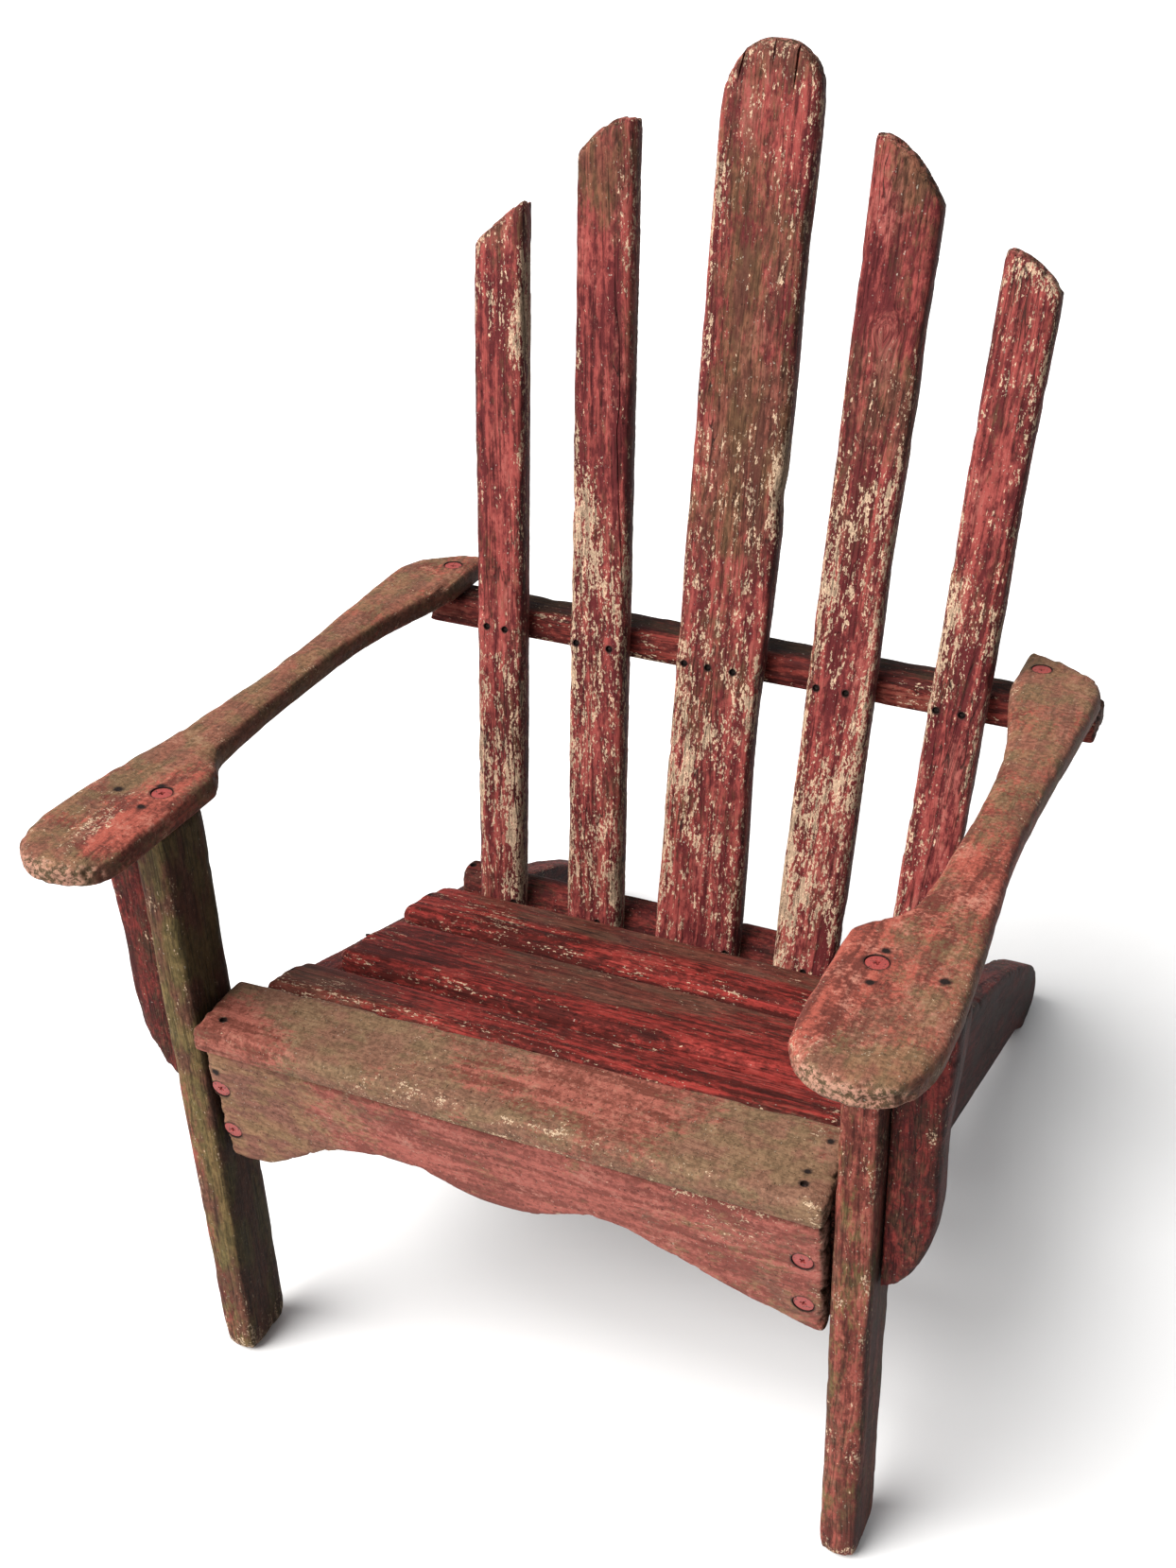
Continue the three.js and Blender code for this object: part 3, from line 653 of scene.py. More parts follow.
@dataclass
class Board:
    """One worn, painted board that stands for one CAD node."""

    node: str
    finish: str
    grain: Vector
    face: Vector
    seed: int
    wear: float = 0.55
    foot_wear: float = 0.0
    ripple: float = 0.35
    rests: bool = True  # its hidden face lies on other boards and has kept its shape
    cracks: tuple[Crack, ...] = ()
    patches: tuple[Patch, ...] = ()
    holes: tuple[Hole, ...] = ()
    nibbles: tuple[Nibble, ...] = ()
    knots: tuple[Knot, ...] = ()
    basis: np.ndarray = field(init=False)

    def __post_init__(self) -> None:
        """Works out the board's own directions: across, through and along."""
        grain = unit(self.grain)
        face = unit(self.face - grain * self.face.dot(grain))
        self.basis = np.array([grain.cross(face), face, grain])

    def build(self, shafts: list["Shaft"]) -> bpy.types.Object:
        """Makes the board's mesh, wears it and marks it for its finish.

        Args:
            shafts: the fasteners that go through the board.

        Returns:
            The finished object, without its material.
        """
        piece = self._even_mesh(shafts)
        self._wear_down(piece.data, shafts)
        self._cut(piece, shafts)
        self._mark(piece.data, shafts)
        return piece

    def _even_mesh(self, shafts: list["Shaft"]) -> bpy.types.Object:
        """The CAD node's shape, with its fastener holes closed, as one skin of small even faces.

        Args:
            shafts: the fasteners that go through the board.

        Returns:
            A new object in the chair's frame.
        """
        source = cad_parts[self.node].data.copy()
        work = bmesh.new()
        work.from_mesh(source)
        bmesh.ops.remove_doubles(work, verts=work.verts, dist=0.002 * MM)
        for shaft in shafts:
            reach = shaft.radius + 0.7 * MM
            places = np.array([vertex.co for vertex in work.verts])
            near = dict(zip(work.verts, shaft.distances(places) < reach))
            bored = [face for face in work.faces if all(near[vertex] for vertex in face.verts)]
            bmesh.ops.delete(work, geom=bored, context="FACES")
        bmesh.ops.holes_fill(work, edges=[edge for edge in work.edges if edge.is_boundary], sides=0)
        bmesh.ops.triangulate(work, faces=[face for face in work.faces if len(face.verts) > 4])
        bmesh.ops.recalc_face_normals(work, faces=work.faces)
        work.to_mesh(source)
        work.free()
        piece = bpy.data.objects.new(f"worn_{self.node}", source)
        bpy.context.scene.collection.objects.link(piece)
        remesh = piece.modifiers.new("even", "REMESH")
        remesh.mode = "VOXEL"
        remesh.voxel_size = VOXEL * MM
        bake_modifiers(piece)
        return piece

    def _wear_down(self, mesh: bpy.types.Mesh, shafts: list["Shaft"]) -> None:
        """Rounds edges unevenly and roughens faces along the grain, always inwards.

        Args:
            mesh: the mesh to change.
            shafts: the fasteners, beside which the board keeps its level.
        """
        points = read_points(mesh) / MM
        edges = read_edges(mesh)
        local = points @ self.basis.T
        softer = smoothed(points, edges, 5)
        softest = smoothed(points, edges, 30)
        uneven = lattice_noise(local / (9.0, 9.0, 26.0), self.seed)
        uneven = 0.6 * uneven + 0.4 * lattice_noise(local / (3.4, 3.4, 8.0), self.seed + 1)
        gap = np.full(len(points), 1e9)
        for shaft in shafts:
            gap = np.minimum(gap, np.linalg.norm(points - np.array(shaft.head) / MM, axis=1))
        guard = ramp(gap, 3.0, 8.0)
        deep = np.clip(self.wear * (0.5 + 0.9 * ramp(uneven, 0.35, 0.75)), 0, 1)
        hidden = 1 - ramp(read_normals(mesh) @ self.basis[1], -0.85, -0.2)
        if self.rests:
            guard = guard * (1 - 0.85 * hidden)
        deep = deep * guard
        if self.foot_wear:
            low = 1 - ramp(points[:, 2], 2.0, 18.0)
            deep = np.maximum(deep, low * self.foot_wear)
        moved = points + (softer - points) * (0.25 + 0.6 * guard)[:, None]
        moved += (softest - softer) * deep[:, None]
        moved += self._nibbled(local) @ self.basis
        write_points(mesh, moved * MM)
        normals = read_normals(mesh)
        facing_end = np.abs(normals @ self.basis[2])
        furrow = lattice_noise(local / (2.9, 2.9, 46.0), self.seed + 2)
        broad = lattice_noise(local / (11.0, 11.0, 64.0), self.seed + 3)
        pit = ramp(lattice_noise(local / (2.6, 2.6, 2.6), self.seed + 4), 0.55, 0.85)
        chip = ramp(lattice_noise(local / (4.5, 4.5, 9.0), self.seed + 5), 0.7, 0.9)
        edge = np.clip(np.einsum("ij,ij->i", points - softest, normals) / 0.9, 0, 1)
        sink = self.ripple * (0.3 * furrow + 0.9 * broad) + facing_end * 1.5 * pit + edge * chip * 0.6
        sink *= 0.15 + 0.85 * guard
        moved -= normals * sink[:, None]
        write_points(mesh, moved * MM)
        keep = mesh.attributes.new("worn", "FLOAT", "POINT")
        keep.data.foreach_set("value", (edge * 0.8).astype(np.float32))

    def _nibbled(self, local: np.ndarray) -> np.ndarray:
        """How far hollows in the long edges move each place, in the board's own directions.

        Args:
            local: the places, across, through and along.

        Returns:
            The moves, one row for each place.
        """
        moves = np.zeros_like(local)
        low, high = self._span()
        share = (local - low) / np.maximum(high - low, 1e-6)
        for nibble in self.nibbles:
            bell = np.exp(-((share[:, 2] - nibble.along) / nibble.length) ** 2)
            side = share[:, 0] if nibble.right else 1 - share[:, 0]
            moves[:, 0] += (-1 if nibble.right else 1) * nibble.depth * bell * ramp(side, 0.35, 1.0)
        return moves

    def _span(self) -> tuple[np.ndarray, np.ndarray]:
        """Lowest and highest corner of the CAD node in the board's own directions, in millimetres.

        Returns:
            The two corners, across, through and along.
        """
        points = read_points(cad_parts[self.node].data) / MM @ self.basis.T
        return points.min(0), points.max(0)

    def _cut(self, piece: bpy.types.Object, shafts: list["Shaft"]) -> None:
        """Opens the fasteners' holes, then the cracks and the empty nail holes.

        Args:
            piece: the board to cut.
            shafts: the fasteners that go through the board.
        """
        low, high = self._span()
        bores = bmesh.new()
        for shaft in shafts:
            shaft.add_bore(bores)
        cut_away(piece, bores)
        damage = bmesh.new()
        for index, crack in enumerate(self.cracks):
            self._add_wedge(damage, crack, low, high, index)
        for hole in self.holes:
            self._add_pin(damage, hole, low, high)
        cut_away(piece, damage)

    def _world(self, local: np.ndarray) -> Vector:
        """A place given across, through and along in millimetres, in the chair's frame."""
        return Vector(local @ self.basis) * MM

    def _add_wedge(self, work: bmesh.types.BMesh, crack: Crack, low: np.ndarray, high: np.ndarray,
                   index: int) -> None:
        """Adds a long wedge that wanders a little from side to side.

        Args:
            work: where the cutters are gathered.
            crack: what to cut.
            low: the board's lowest corner in its own directions.
            high: its highest corner.
            index: which crack this is, for its own wander.
        """
        size = high - low
        begin = low[2] + size[2] * crack.start
        end = low[2] + size[2] * crack.end
        count = max(6, int((end - begin) / 5))
        stations = np.linspace(begin, end, count)
        probe = np.stack([stations / 14, np.full(count, index * 3.7), np.zeros(count)], axis=1)
        sway = (lattice_noise(probe, self.seed + 20) - 0.5) * 2.4
        top = high[1] + 1.5
        rings = []
        for step, along in enumerate(stations):
            share = step / (count - 1)
            full = min(1.0, 4 * share * (1 - share) + (1 if crack.end > 1 else 0) * share)
            half = max(0.03, crack.width * full / 2)
            across = low[0] + size[0] * (crack.across + crack.drift * share) + sway[step]
            depth = 1.5 + max(0.15, crack.depth * full)
            corners = [(across - half, top), (across + half, top), (across, top - depth)]
            rings.append([work.verts.new(self._world(np.array([x, y, along]))) for x, y in corners])
        for first, second in zip(rings, rings[1:]):
            for side in range(3):
                after = (side + 1) % 3
                work.faces.new([first[side], first[after], second[after], second[side]])
        work.faces.new(reversed(rings[0]))
        work.faces.new(rings[-1])
        bmesh.ops.recalc_face_normals(work, faces=work.faces)

    def _add_pin(self, work: bmesh.types.BMesh, hole: Hole, low: np.ndarray, high: np.ndarray) -> None:
        """Adds a short round pin that goes in from the board's face.

        Args:
            work: where the cutters are gathered.
            hole: what to cut.
            low: the board's lowest corner in its own directions.
            high: its highest corner.
        """
        size = high - low
        centre = np.array([low[0] + size[0] * hole.across, high[1], low[2] + size[2] * hole.along])
        turn = Matrix(np.array([self.basis[0], -self.basis[2], self.basis[1]]).T.tolist()).to_4x4()
        turn.translation = self._world(centre)
        bmesh.ops.create_cone(
            work, cap_ends=True, segments=14, radius1=hole.radius * 0.75 * MM, radius2=hole.radius * MM,
            depth=7 * MM, matrix=turn)

    def _mark(self, mesh: bpy.types.Mesh, shafts: list["Shaft"]) -> None:
        """Writes the board's own places and marks for the finish to read.

        Args:
            mesh: the finished mesh.
            shafts: the fasteners that go through the board.
        """
        points = read_points(mesh) / MM
        local = points @ self.basis.T
        low, high = self._span()
        size = high - low
        share = (local - low) / np.maximum(size, 1e-6)
        normals = read_normals(mesh)
        marks = {Mark.WORN: np.zeros(len(points), np.float32), Mark.STAIN: np.zeros(len(points), np.float32)}
        mesh.attributes["worn"].data.foreach_get("value", marks[Mark.WORN])
        for patch in self.patches:
            reach = (((share[:, 2] - patch.along) / patch.length) ** 2
                     + ((share[:, 0] - patch.across) / patch.width) ** 2)
            marks[patch.mark] = marks[patch.mark] + patch.strength * np.exp(-reach)
        for knot in self.knots:
            beside = local[:, [0, 2]] - (low + size * np.array([knot.across, 0, knot.along]))[[0, 2]]
            near = np.exp(-(beside ** 2).sum(1) / knot.radius ** 2)
            local[:, 0] += -np.sign(beside[:, 0]) * near * knot.radius * 0.7
            local[:, 2] *= 1 - 0.02 * near
        # grime and painted shade: near black on the bore wall and rim round each fastener, and inside each
        # empty nail hole
        hole_grime_and_shade = np.zeros(len(points))
        for shaft in shafts:
            gap = (shaft.distances(points * MM) - shaft.radius) / MM
            hole_grime_and_shade = np.maximum(hole_grime_and_shade, 1 - ramp(gap, 0.15, shaft.grime_and_shade_reach))
        for hole in self.holes:
            centre = low + size * np.array([hole.across, 1, hole.along])
            gap = np.linalg.norm((local - centre)[:, [0, 2]], axis=1) - hole.radius
            hole_grime_and_shade = np.maximum(hole_grime_and_shade, (1 - ramp(gap, 0.1, 1.0)) * (share[:, 1] > 0.3))
        # painted shade: marks faces whose normal turns to +X, away from the key light at the left, for the
        # colour to darken
        painted_side_shade = ramp(normals[:, 0], 0.45, 0.85)
        end = ramp(np.abs(normals @ self.basis[2]), 0.5, 0.85)
        write_values(mesh, "worn", marks[Mark.WORN])
        write_values(mesh, "stain", marks[Mark.STAIN])
        write_values(mesh, "cut_end", end)
        write_values(mesh, "painted_side_shade", painted_side_shade)
        write_values(mesh, "hole_grime_and_shade", hole_grime_and_shade)
        place = mesh.attributes.new("board_place", "FLOAT_VECTOR", "POINT")
        shifted = local + np.array([37.0, 53.0, 91.0]) * self.seed
        place.data.foreach_set("vector", shifted.astype(np.float32).ravel())
        mesh.polygons.foreach_set("use_smooth", np.ones(len(mesh.polygons), bool))
        mesh.set_sharp_from_angle(angle=math.radians(50))
        mesh.update()


# ---------------------------------------------------------------- mesh reading and writing


def read_points(mesh: bpy.types.Mesh) -> np.ndarray:
    """The vertices' places.

    Args:
        mesh: the mesh to read.

    Returns:
        The places, one row each.
    """
    flat = np.zeros(len(mesh.vertices) * 3, np.float32)
    mesh.vertices.foreach_get("co", flat)
    return flat.reshape(-1, 3).astype(float)


def read_normals(mesh: bpy.types.Mesh) -> np.ndarray:
    """The vertices' normals.

    Args:
        mesh: the mesh to read.

    Returns:
        The normals, one row each.
    """
    mesh.update()
    flat = np.zeros(len(mesh.vertices) * 3, np.float32)
    mesh.vertex_normals.foreach_get("vector", flat)
    return flat.reshape(-1, 3).astype(float)


def read_edges(mesh: bpy.types.Mesh) -> np.ndarray:
    """The two ends of every edge.

    Args:
        mesh: the mesh to read.

    Returns:
        The vertices' numbers, one row for each edge.
    """
    flat = np.zeros(len(mesh.edges) * 2, np.int32)
    mesh.edges.foreach_get("vertices", flat)
    return flat.reshape(-1, 2)


def write_points(mesh: bpy.types.Mesh, points: np.ndarray) -> None:
    """Moves the vertices."""
    mesh.vertices.foreach_set("co", points.astype(np.float32).ravel())
    mesh.update()


def write_values(mesh: bpy.types.Mesh, name: str, values: np.ndarray) -> None:
    """Stores one value for each vertex.

    Args:
        mesh: the mesh.
        name: the attribute's name.
        values: the values.
    """
    kept = mesh.attributes.get(name) or mesh.attributes.new(name, "FLOAT", "POINT")
    kept.data.foreach_set("value", np.asarray(values, np.float32))


def smoothed(points: np.ndarray, edges: np.ndarray, rounds: int) -> np.ndarray:
    """Each point drawn to the middle of its neighbours, again and again.

    Args:
        points: the places.
        edges: which points are neighbours.
        rounds: how many times.

    Returns:
        The new places.
    """
    count = len(points)
    ends = np.concatenate([edges[:, 0], edges[:, 1]])
    others = np.concatenate([edges[:, 1], edges[:, 0]])
    degree = np.maximum(np.bincount(ends, minlength=count), 1)
    now = points.copy()
    for _ in range(rounds):
        middle = np.stack([np.bincount(ends, now[others, axis], count) for axis in range(3)], axis=1)
        now = now + 0.5 * (middle / degree[:, None] - now)
    return now


def cut_away(piece: bpy.types.Object, work: bmesh.types.BMesh) -> None:
    """Takes a shape away from a piece, and frees the shape.

    Args:
        piece: the object to cut.
        work: the shape, in the object's own space; nothing happens if it is empty.
    """
    mesh = bpy.data.meshes.new("cutter")
    work.to_mesh(mesh)
    work.free()
    if len(mesh.polygons):
        cutter = bpy.data.objects.new("cutter", mesh)
        bpy.context.scene.collection.objects.link(cutter)
        cut = piece.modifiers.new("cut", "BOOLEAN")
        cut.operation = "DIFFERENCE"
        cut.solver = "EXACT"
        cut.object = cutter
        bake_modifiers(piece)
        bpy.data.objects.remove(cutter)
    bpy.data.meshes.remove(mesh)


def bake_modifiers(piece: bpy.types.Object) -> None:
    """Replaces an object's mesh with what its modifiers make of it.

    Args:
        piece: the object to settle.
    """
    graph = bpy.context.evaluated_depsgraph_get()
    made = bpy.data.meshes.new_from_object(piece.evaluated_get(graph))
    piece.modifiers.clear()
    piece.data = made


# ---------------------------------------------------------------- fasteners


@dataclass(frozen=True)
class Shaft:
    """Where a CAD fastener is: the middle of its head and the way it points out."""

    head: Vector
    outward: Vector
    length: float
    radius: float
    shank: float
    head_depth: float
    sunk: float
    grime_and_shade_reach: float

    def distances(self, points: np.ndarray) -> np.ndarray:
        """How far points are from the fastener's line.

        Args:
            points: the places, in metres, one row each.

        Returns:
            The distances, in metres; a whole metre for a point past either end.
        """
        outward = np.array(self.outward)
        beside = points - np.array(self.head)
        reach = beside @ outward
        away = np.linalg.norm(beside - np.outer(reach, outward), axis=1)
        past = (reach > 1.5 * MM) | (reach < -self.length - 1.2 * MM)
        return np.where(past, 1.0, away)

    def place(self, turn: float = 0.0) -> Matrix:
        """Where an upright fastener at the origin goes, turned about its own line by an angle in radians."""
        aim = self.outward.to_track_quat("Z", "Y").to_matrix().to_4x4()
        return Matrix.Translation(self.head) @ aim @ Matrix.Rotation(turn, 4, "Z")

    def add_bore(self, work: bmesh.types.BMesh) -> None:
        """Adds the shape of the fastener's hole, a little wider than the fastener.

        Args:
            work: where the cutters are gathered.
        """
        gap = 0.25 * MM
        foot = -self.length - gap
        profile = [(0.0, foot), (self.shank + gap, foot), (self.shank + gap, -self.head_depth - self.sunk)]
        profile += [(self.radius + gap, -0.5 * MM - self.sunk), (self.radius + gap, 1.6 * MM),
                    (0.0, 1.6 * MM)]
        mesh = turn_profile("bore", profile, 20)
        mesh.transform(self.place())
        work.from_mesh(mesh)
        bpy.data.meshes.remove(mesh)


def read_shaft(node: str) -> Shaft:
    """Finds a fastener's line from its CAD mesh.

    Args:
        node: the CAD node.

    Returns:
        Its head, direction and size, in metres.
    """
    points = read_points(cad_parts[node].data)
    middle = points.mean(0)
    spread = np.unique(np.round(points, 7), axis=0) - middle
    _, _, rows = np.linalg.svd(spread, full_matrices=False)
    line = rows[0]
    reach = spread @ line
    sideways = np.linalg.norm(spread - np.outer(reach, line), axis=1)
    if sideways[reach > reach.max() * 0.8].max() < sideways[reach < reach.min() * 0.8].max():
        line, reach = -line, -reach
    tip = spread[np.argmin(reach)]
    line_point = middle + tip - line * (tip @ line)
    head = line_point + line * reach.max()
    screw = "screw" in node
    return Shaft(
        Vector(head), Vector(line), float(np.ptp(reach)), float(sideways.max()),
        shank=1.75 * MM if screw else float(sideways.max()) * 0.6, head_depth=(2.7 if screw else 0.9) * MM,
        sunk=0.0 if screw else 0.7 * MM, grime_and_shade_reach=0.9 if screw else 0.7)


def turn_profile(name: str, profile: list[tuple[float, float]], segments: int) -> bpy.types.Mesh:
    """Turns a profile about +Z into a closed mesh.

    Args:
        name: the mesh's name.
        profile: radius and height pairs from the tip up to the middle of the head.
        segments: how many steps to a full turn.

    Returns:
        The mesh.
    """
    work = bmesh.new()
    rings = []
    for radius, height in profile:
        if radius == 0:
            rings.append([work.verts.new((0, 0, height))])
            continue
        angles = [2 * math.pi * step / segments for step in range(segments)]
        rings.append([work.verts.new((radius * math.cos(a), radius * math.sin(a), height)) for a in angles])
    for lower, upper in zip(rings, rings[1:]):
        for step in range(segments):
            after = (step + 1) % segments
            corners = [lower[step % len(lower)], lower[after % len(lower)], upper[after % len(upper)],
                       upper[step % len(upper)]]
            work.faces.new(list(dict.fromkeys(corners)))
    bmesh.ops.recalc_face_normals(work, faces=work.faces)
    mesh = bpy.data.meshes.new(name)
    work.to_mesh(mesh)
    work.free()
    return mesh


@dataclass
class Screw:
    """A countersunk cross-head screw that stands for one CAD node."""

    node: str
    turn: float
    thread_pitch: float = 2.4 * MM
    thread_rise: float = 0.32 * MM

    def build(self) -> bpy.types.Object:
        """Makes the screw with its thread and its cross.

        Returns:
            The finished object, without its material.
        """
        shaft = read_shaft(self.node)
        rim = shaft.radius * 0.995
        profile = [(0.0, -shaft.length + 0.2 * MM), (shaft.shank * 0.3, -shaft.length + 1.2 * MM)]
        start = -shaft.length + 5 * MM
        turns = int((-shaft.head_depth - 6 * MM - start) / self.thread_pitch)
        for index in range(max(turns, 1)):
            base = start + index * self.thread_pitch
            profile.append((shaft.shank - self.thread_rise, base))
            profile.append((shaft.shank, base + self.thread_pitch * 0.3))
            profile.append((shaft.shank - self.thread_rise, base + self.thread_pitch * 0.6))
        profile += [(shaft.shank - self.thread_rise, -shaft.head_depth - 0.3 * MM)]
        profile += [(rim * 0.985, -0.62 * MM), (rim, -0.42 * MM), (rim, -0.24 * MM), (rim * 0.96, -0.08 * MM)]
        profile += [(rim * 0.8, 0.0), (rim * 0.4, 0.0), (0.0, 0.0)]
        piece = bpy.data.objects.new(f"turned_{self.node}", turn_profile("screw", profile, 40))
        bpy.context.scene.collection.objects.link(piece)
        self._cut_cross(piece)
        piece.data.transform(shaft.place(self.turn))
        piece.data.polygons.foreach_set("use_smooth", np.ones(len(piece.data.polygons), bool))
        piece.data.set_sharp_from_angle(angle=math.radians(38))
        return piece

    def _cut_cross(self, piece: bpy.types.Object) -> None:
        """Sinks the driver's cross into the head.

        Args:
            piece: the screw, still upright at the origin.
        """
        for quarter in (0.0, math.pi / 2):
            work = bmesh.new()
            made = bmesh.ops.create_cone(
                work, cap_ends=True, segments=4, radius1=0.35 * MM, radius2=1.0 * MM, depth=4.4 * MM,
                matrix=Matrix.Rotation(math.pi / 4, 4, "Z"))
            for vertex in made["verts"]:
                vertex.co.x *= 3.1 if vertex.co.z > 0 else 2.4
                vertex.co.z += 0.2 * MM
                vertex.co = Matrix.Rotation(quarter, 3, "Z") @ vertex.co
            cut_away(piece, work)


@dataclass
class Nail:
    """A small flat-headed nail that stands for one CAD node."""

    node: str
    turn: float

    def build(self) -> bpy.types.Object:
        """Makes the nail.

        Returns:
            The finished object, without its material.
        """
        shaft = read_shaft(self.node)
        head, shank = shaft.radius * 0.99, shaft.shank
        tip = shaft.sunk - shaft.length
        profile = [(0.0, tip), (shank * 0.5, tip + 1.2 * MM), (shank, tip + 2.4 * MM)]
        profile += [(shank, -1.0 * MM), (head * 0.9, -0.8 * MM), (head, -0.5 * MM), (head, -0.25 * MM)]
        profile += [(head * 0.82, -0.06 * MM), (head * 0.4, -0.02 * MM), (0.0, -0.12 * MM)]
        piece = bpy.data.objects.new(f"driven_{self.node}", turn_profile("nail", profile, 18))
        bpy.context.scene.collection.objects.link(piece)
        piece.data.transform(shaft.place(self.turn) @ Matrix.Translation((0, 0, -shaft.sunk)))
        piece.data.polygons.foreach_set("use_smooth", np.ones(len(piece.data.polygons), bool))
        return piece


# ---------------------------------------------------------------- sub-assemblies

UP = Vector((0, 0, 1))
RIGHT = Vector((1, 0, 0))
REAR = Vector((0, 1, 0))


def slope(node: str, flat_axis: int) -> Vector:
    """The direction of a tilted board's broad face, read from its largest CAD triangle.

    Args:
        node: the CAD node.
        flat_axis: 1 for a face that looks mostly to the front, 2 for one that looks mostly up.

    Returns:
        The face's outward direction.
    """
    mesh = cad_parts[node].data
    sign = -1 if flat_axis == 1 else 1
    best = max(mesh.polygons, key=lambda face: face.area * max(0.0, sign * face.normal[flat_axis]))
    return Vector(best.normal)


@dataclass
class BackRest:
    """Five tall slats on two rails."""

    seeds: tuple[int, ...] = (11, 12, 13, 14, 15)
    cracks: dict[int, tuple[Crack, ...]] = field(default_factory=lambda: {
        1: (Crack(0.03, 0.4, 0.7, 0.9, 2.4),),
        2: (Crack(0.24, 0.93, 0.74, 0.9, 3.0, 0.04),),
        3: (Crack(0.95, 1.02, 0.2, 1.5, 5.0), Crack(0.945, 1.02, 0.74, 1.4, 5.0),
            Crack(0.965, 1.02, 0.5, 1.0, 3.0)),
        5: (Crack(0.45, 0.8, 0.72, 0.6, 2.0),),
    })
    patches: dict[int, tuple[Patch, ...]] = field(default_factory=lambda: {
        1: (Patch(0.28, 0.25, 0.16, 0.5, 1.1), Patch(0.82, 0.95, 0.14, 0.25, 1.6),
            Patch(0.06, 0.6, 0.08, 0.5, 0.9),
            Patch(0.97, 0.2, 0.05, 0.4, 1.5, Mark.STAIN)),
        2: (Patch(0.53, 0.35, 0.09, 0.3, 1.7), Patch(0.28, 0.45, 0.18, 0.5, 1.0),
            Patch(0.08, 0.5, 0.08, 0.5, 1.2),
            Patch(0.95, 0.6, 0.06, 0.6, 1.2, Mark.STAIN), Patch(0.82, 0.5, 0.12, 0.5, -1.0)),
        3: (Patch(0.62, 0.55, 0.22, 0.45, 1.7, Mark.STAIN), Patch(0.565, 0.97, 0.035, 0.1, 2.6),
            Patch(0.75, 0.08, 0.16, 0.14, 1.2), Patch(0.22, 0.4, 0.24, 0.6, 0.8),
            Patch(0.99, 0.5, 0.03, 1.0, 1.4, Mark.STAIN)),
        4: (Patch(0.9, 0.5, 0.12, 0.9, -1.6), Patch(0.3, 0.5, 0.3, 0.7, 1.2), Patch(0.12, 0.3, 0.1, 0.5, 1.2),
            Patch(0.72, 0.4, 0.08, 0.5, 1.2, Mark.STAIN), Patch(0.97, 0.6, 0.05, 0.6, 1.2, Mark.STAIN)),
        5: (Patch(0.4, 0.15, 0.35, 0.3, 1.0), Patch(0.97, 0.4, 0.03, 0.5, 1.6),
            Patch(0.6, 0.5, 0.3, 0.6, 0.6)),
    })
    nibbles: dict[int, tuple[Nibble, ...]] = field(default_factory=lambda: {
        3: (Nibble(0.27, 0.13, 2.6), Nibble(0.545, 0.018, 1.2), Nibble(0.78, 0.07, 0.8)),
        4: (Nibble(0.55, 0.12, 1.3), Nibble(0.8, 0.04, 1.1)),
        5: (Nibble(0.72, 0.12, 1.0),),
    })

    def boards(self) -> list[Board]:
        """The slats and the rails.

        Returns:
            The boards, slats first.
        """
        made = []
        for index in range(1, SLATS + 1):
            node = f"back_slat_{index}"
            face = slope(node, 1)
            grain = unit(RIGHT.cross(face)) * -1
            lean = self._lean(node, grain)
            knots = (Knot(0.795, 0.42, 6.0),) if index == 4 else ()
            made.append(Board(node, "back", unit(grain + RIGHT * lean), face, self.seeds[index - 1],
                              wear=0.62,
                              ripple=0.5, cracks=self.cracks.get(index, ()),
                              patches=self.patches.get(index, ()),
                              nibbles=self.nibbles.get(index, ()), knots=knots))
        made.append(Board("back_rail_upper", "rail", RIGHT, UP, 16, wear=0.6,
                          patches=(Patch(0.33, 1.0, 0.1, 0.2, 1.6), Patch(0.52, 1.0, 0.08, 0.2, 1.5),
                                   Patch(0.8, 1.0, 0.1, 0.2, 1.7),
                                   Patch(0.5, 1.0, 0.9, 0.25, -3.0, Mark.STAIN))))
        made.append(Board("back_rail_lower", "frame", RIGHT, UP, 17, wear=0.9))
        return made

    def _lean(self, node: str, grain: Vector) -> float:
        """How far a slat leans sideways for each unit of its length.

        Args:
            node: the slat's CAD node.
            grain: the slope of the back.

        Returns:
            The sideways run per unit of length.
        """
        points = read_points(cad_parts[node].data)
        height = points @ np.array(grain)
        span = height.max() - height.min()
        low = points[height < height.min() + span * 0.04][:, 0]
        high = points[np.abs(height - height.min() - span * 0.86) < span * 0.12][:, 0]
        if len(high) == 0:
            high = points[height > height.min() + span * 0.7][:, 0]
        rise = span * 0.9
        return float(((high.max() + high.min()) - (low.max() + low.min())) / 2 / rise)


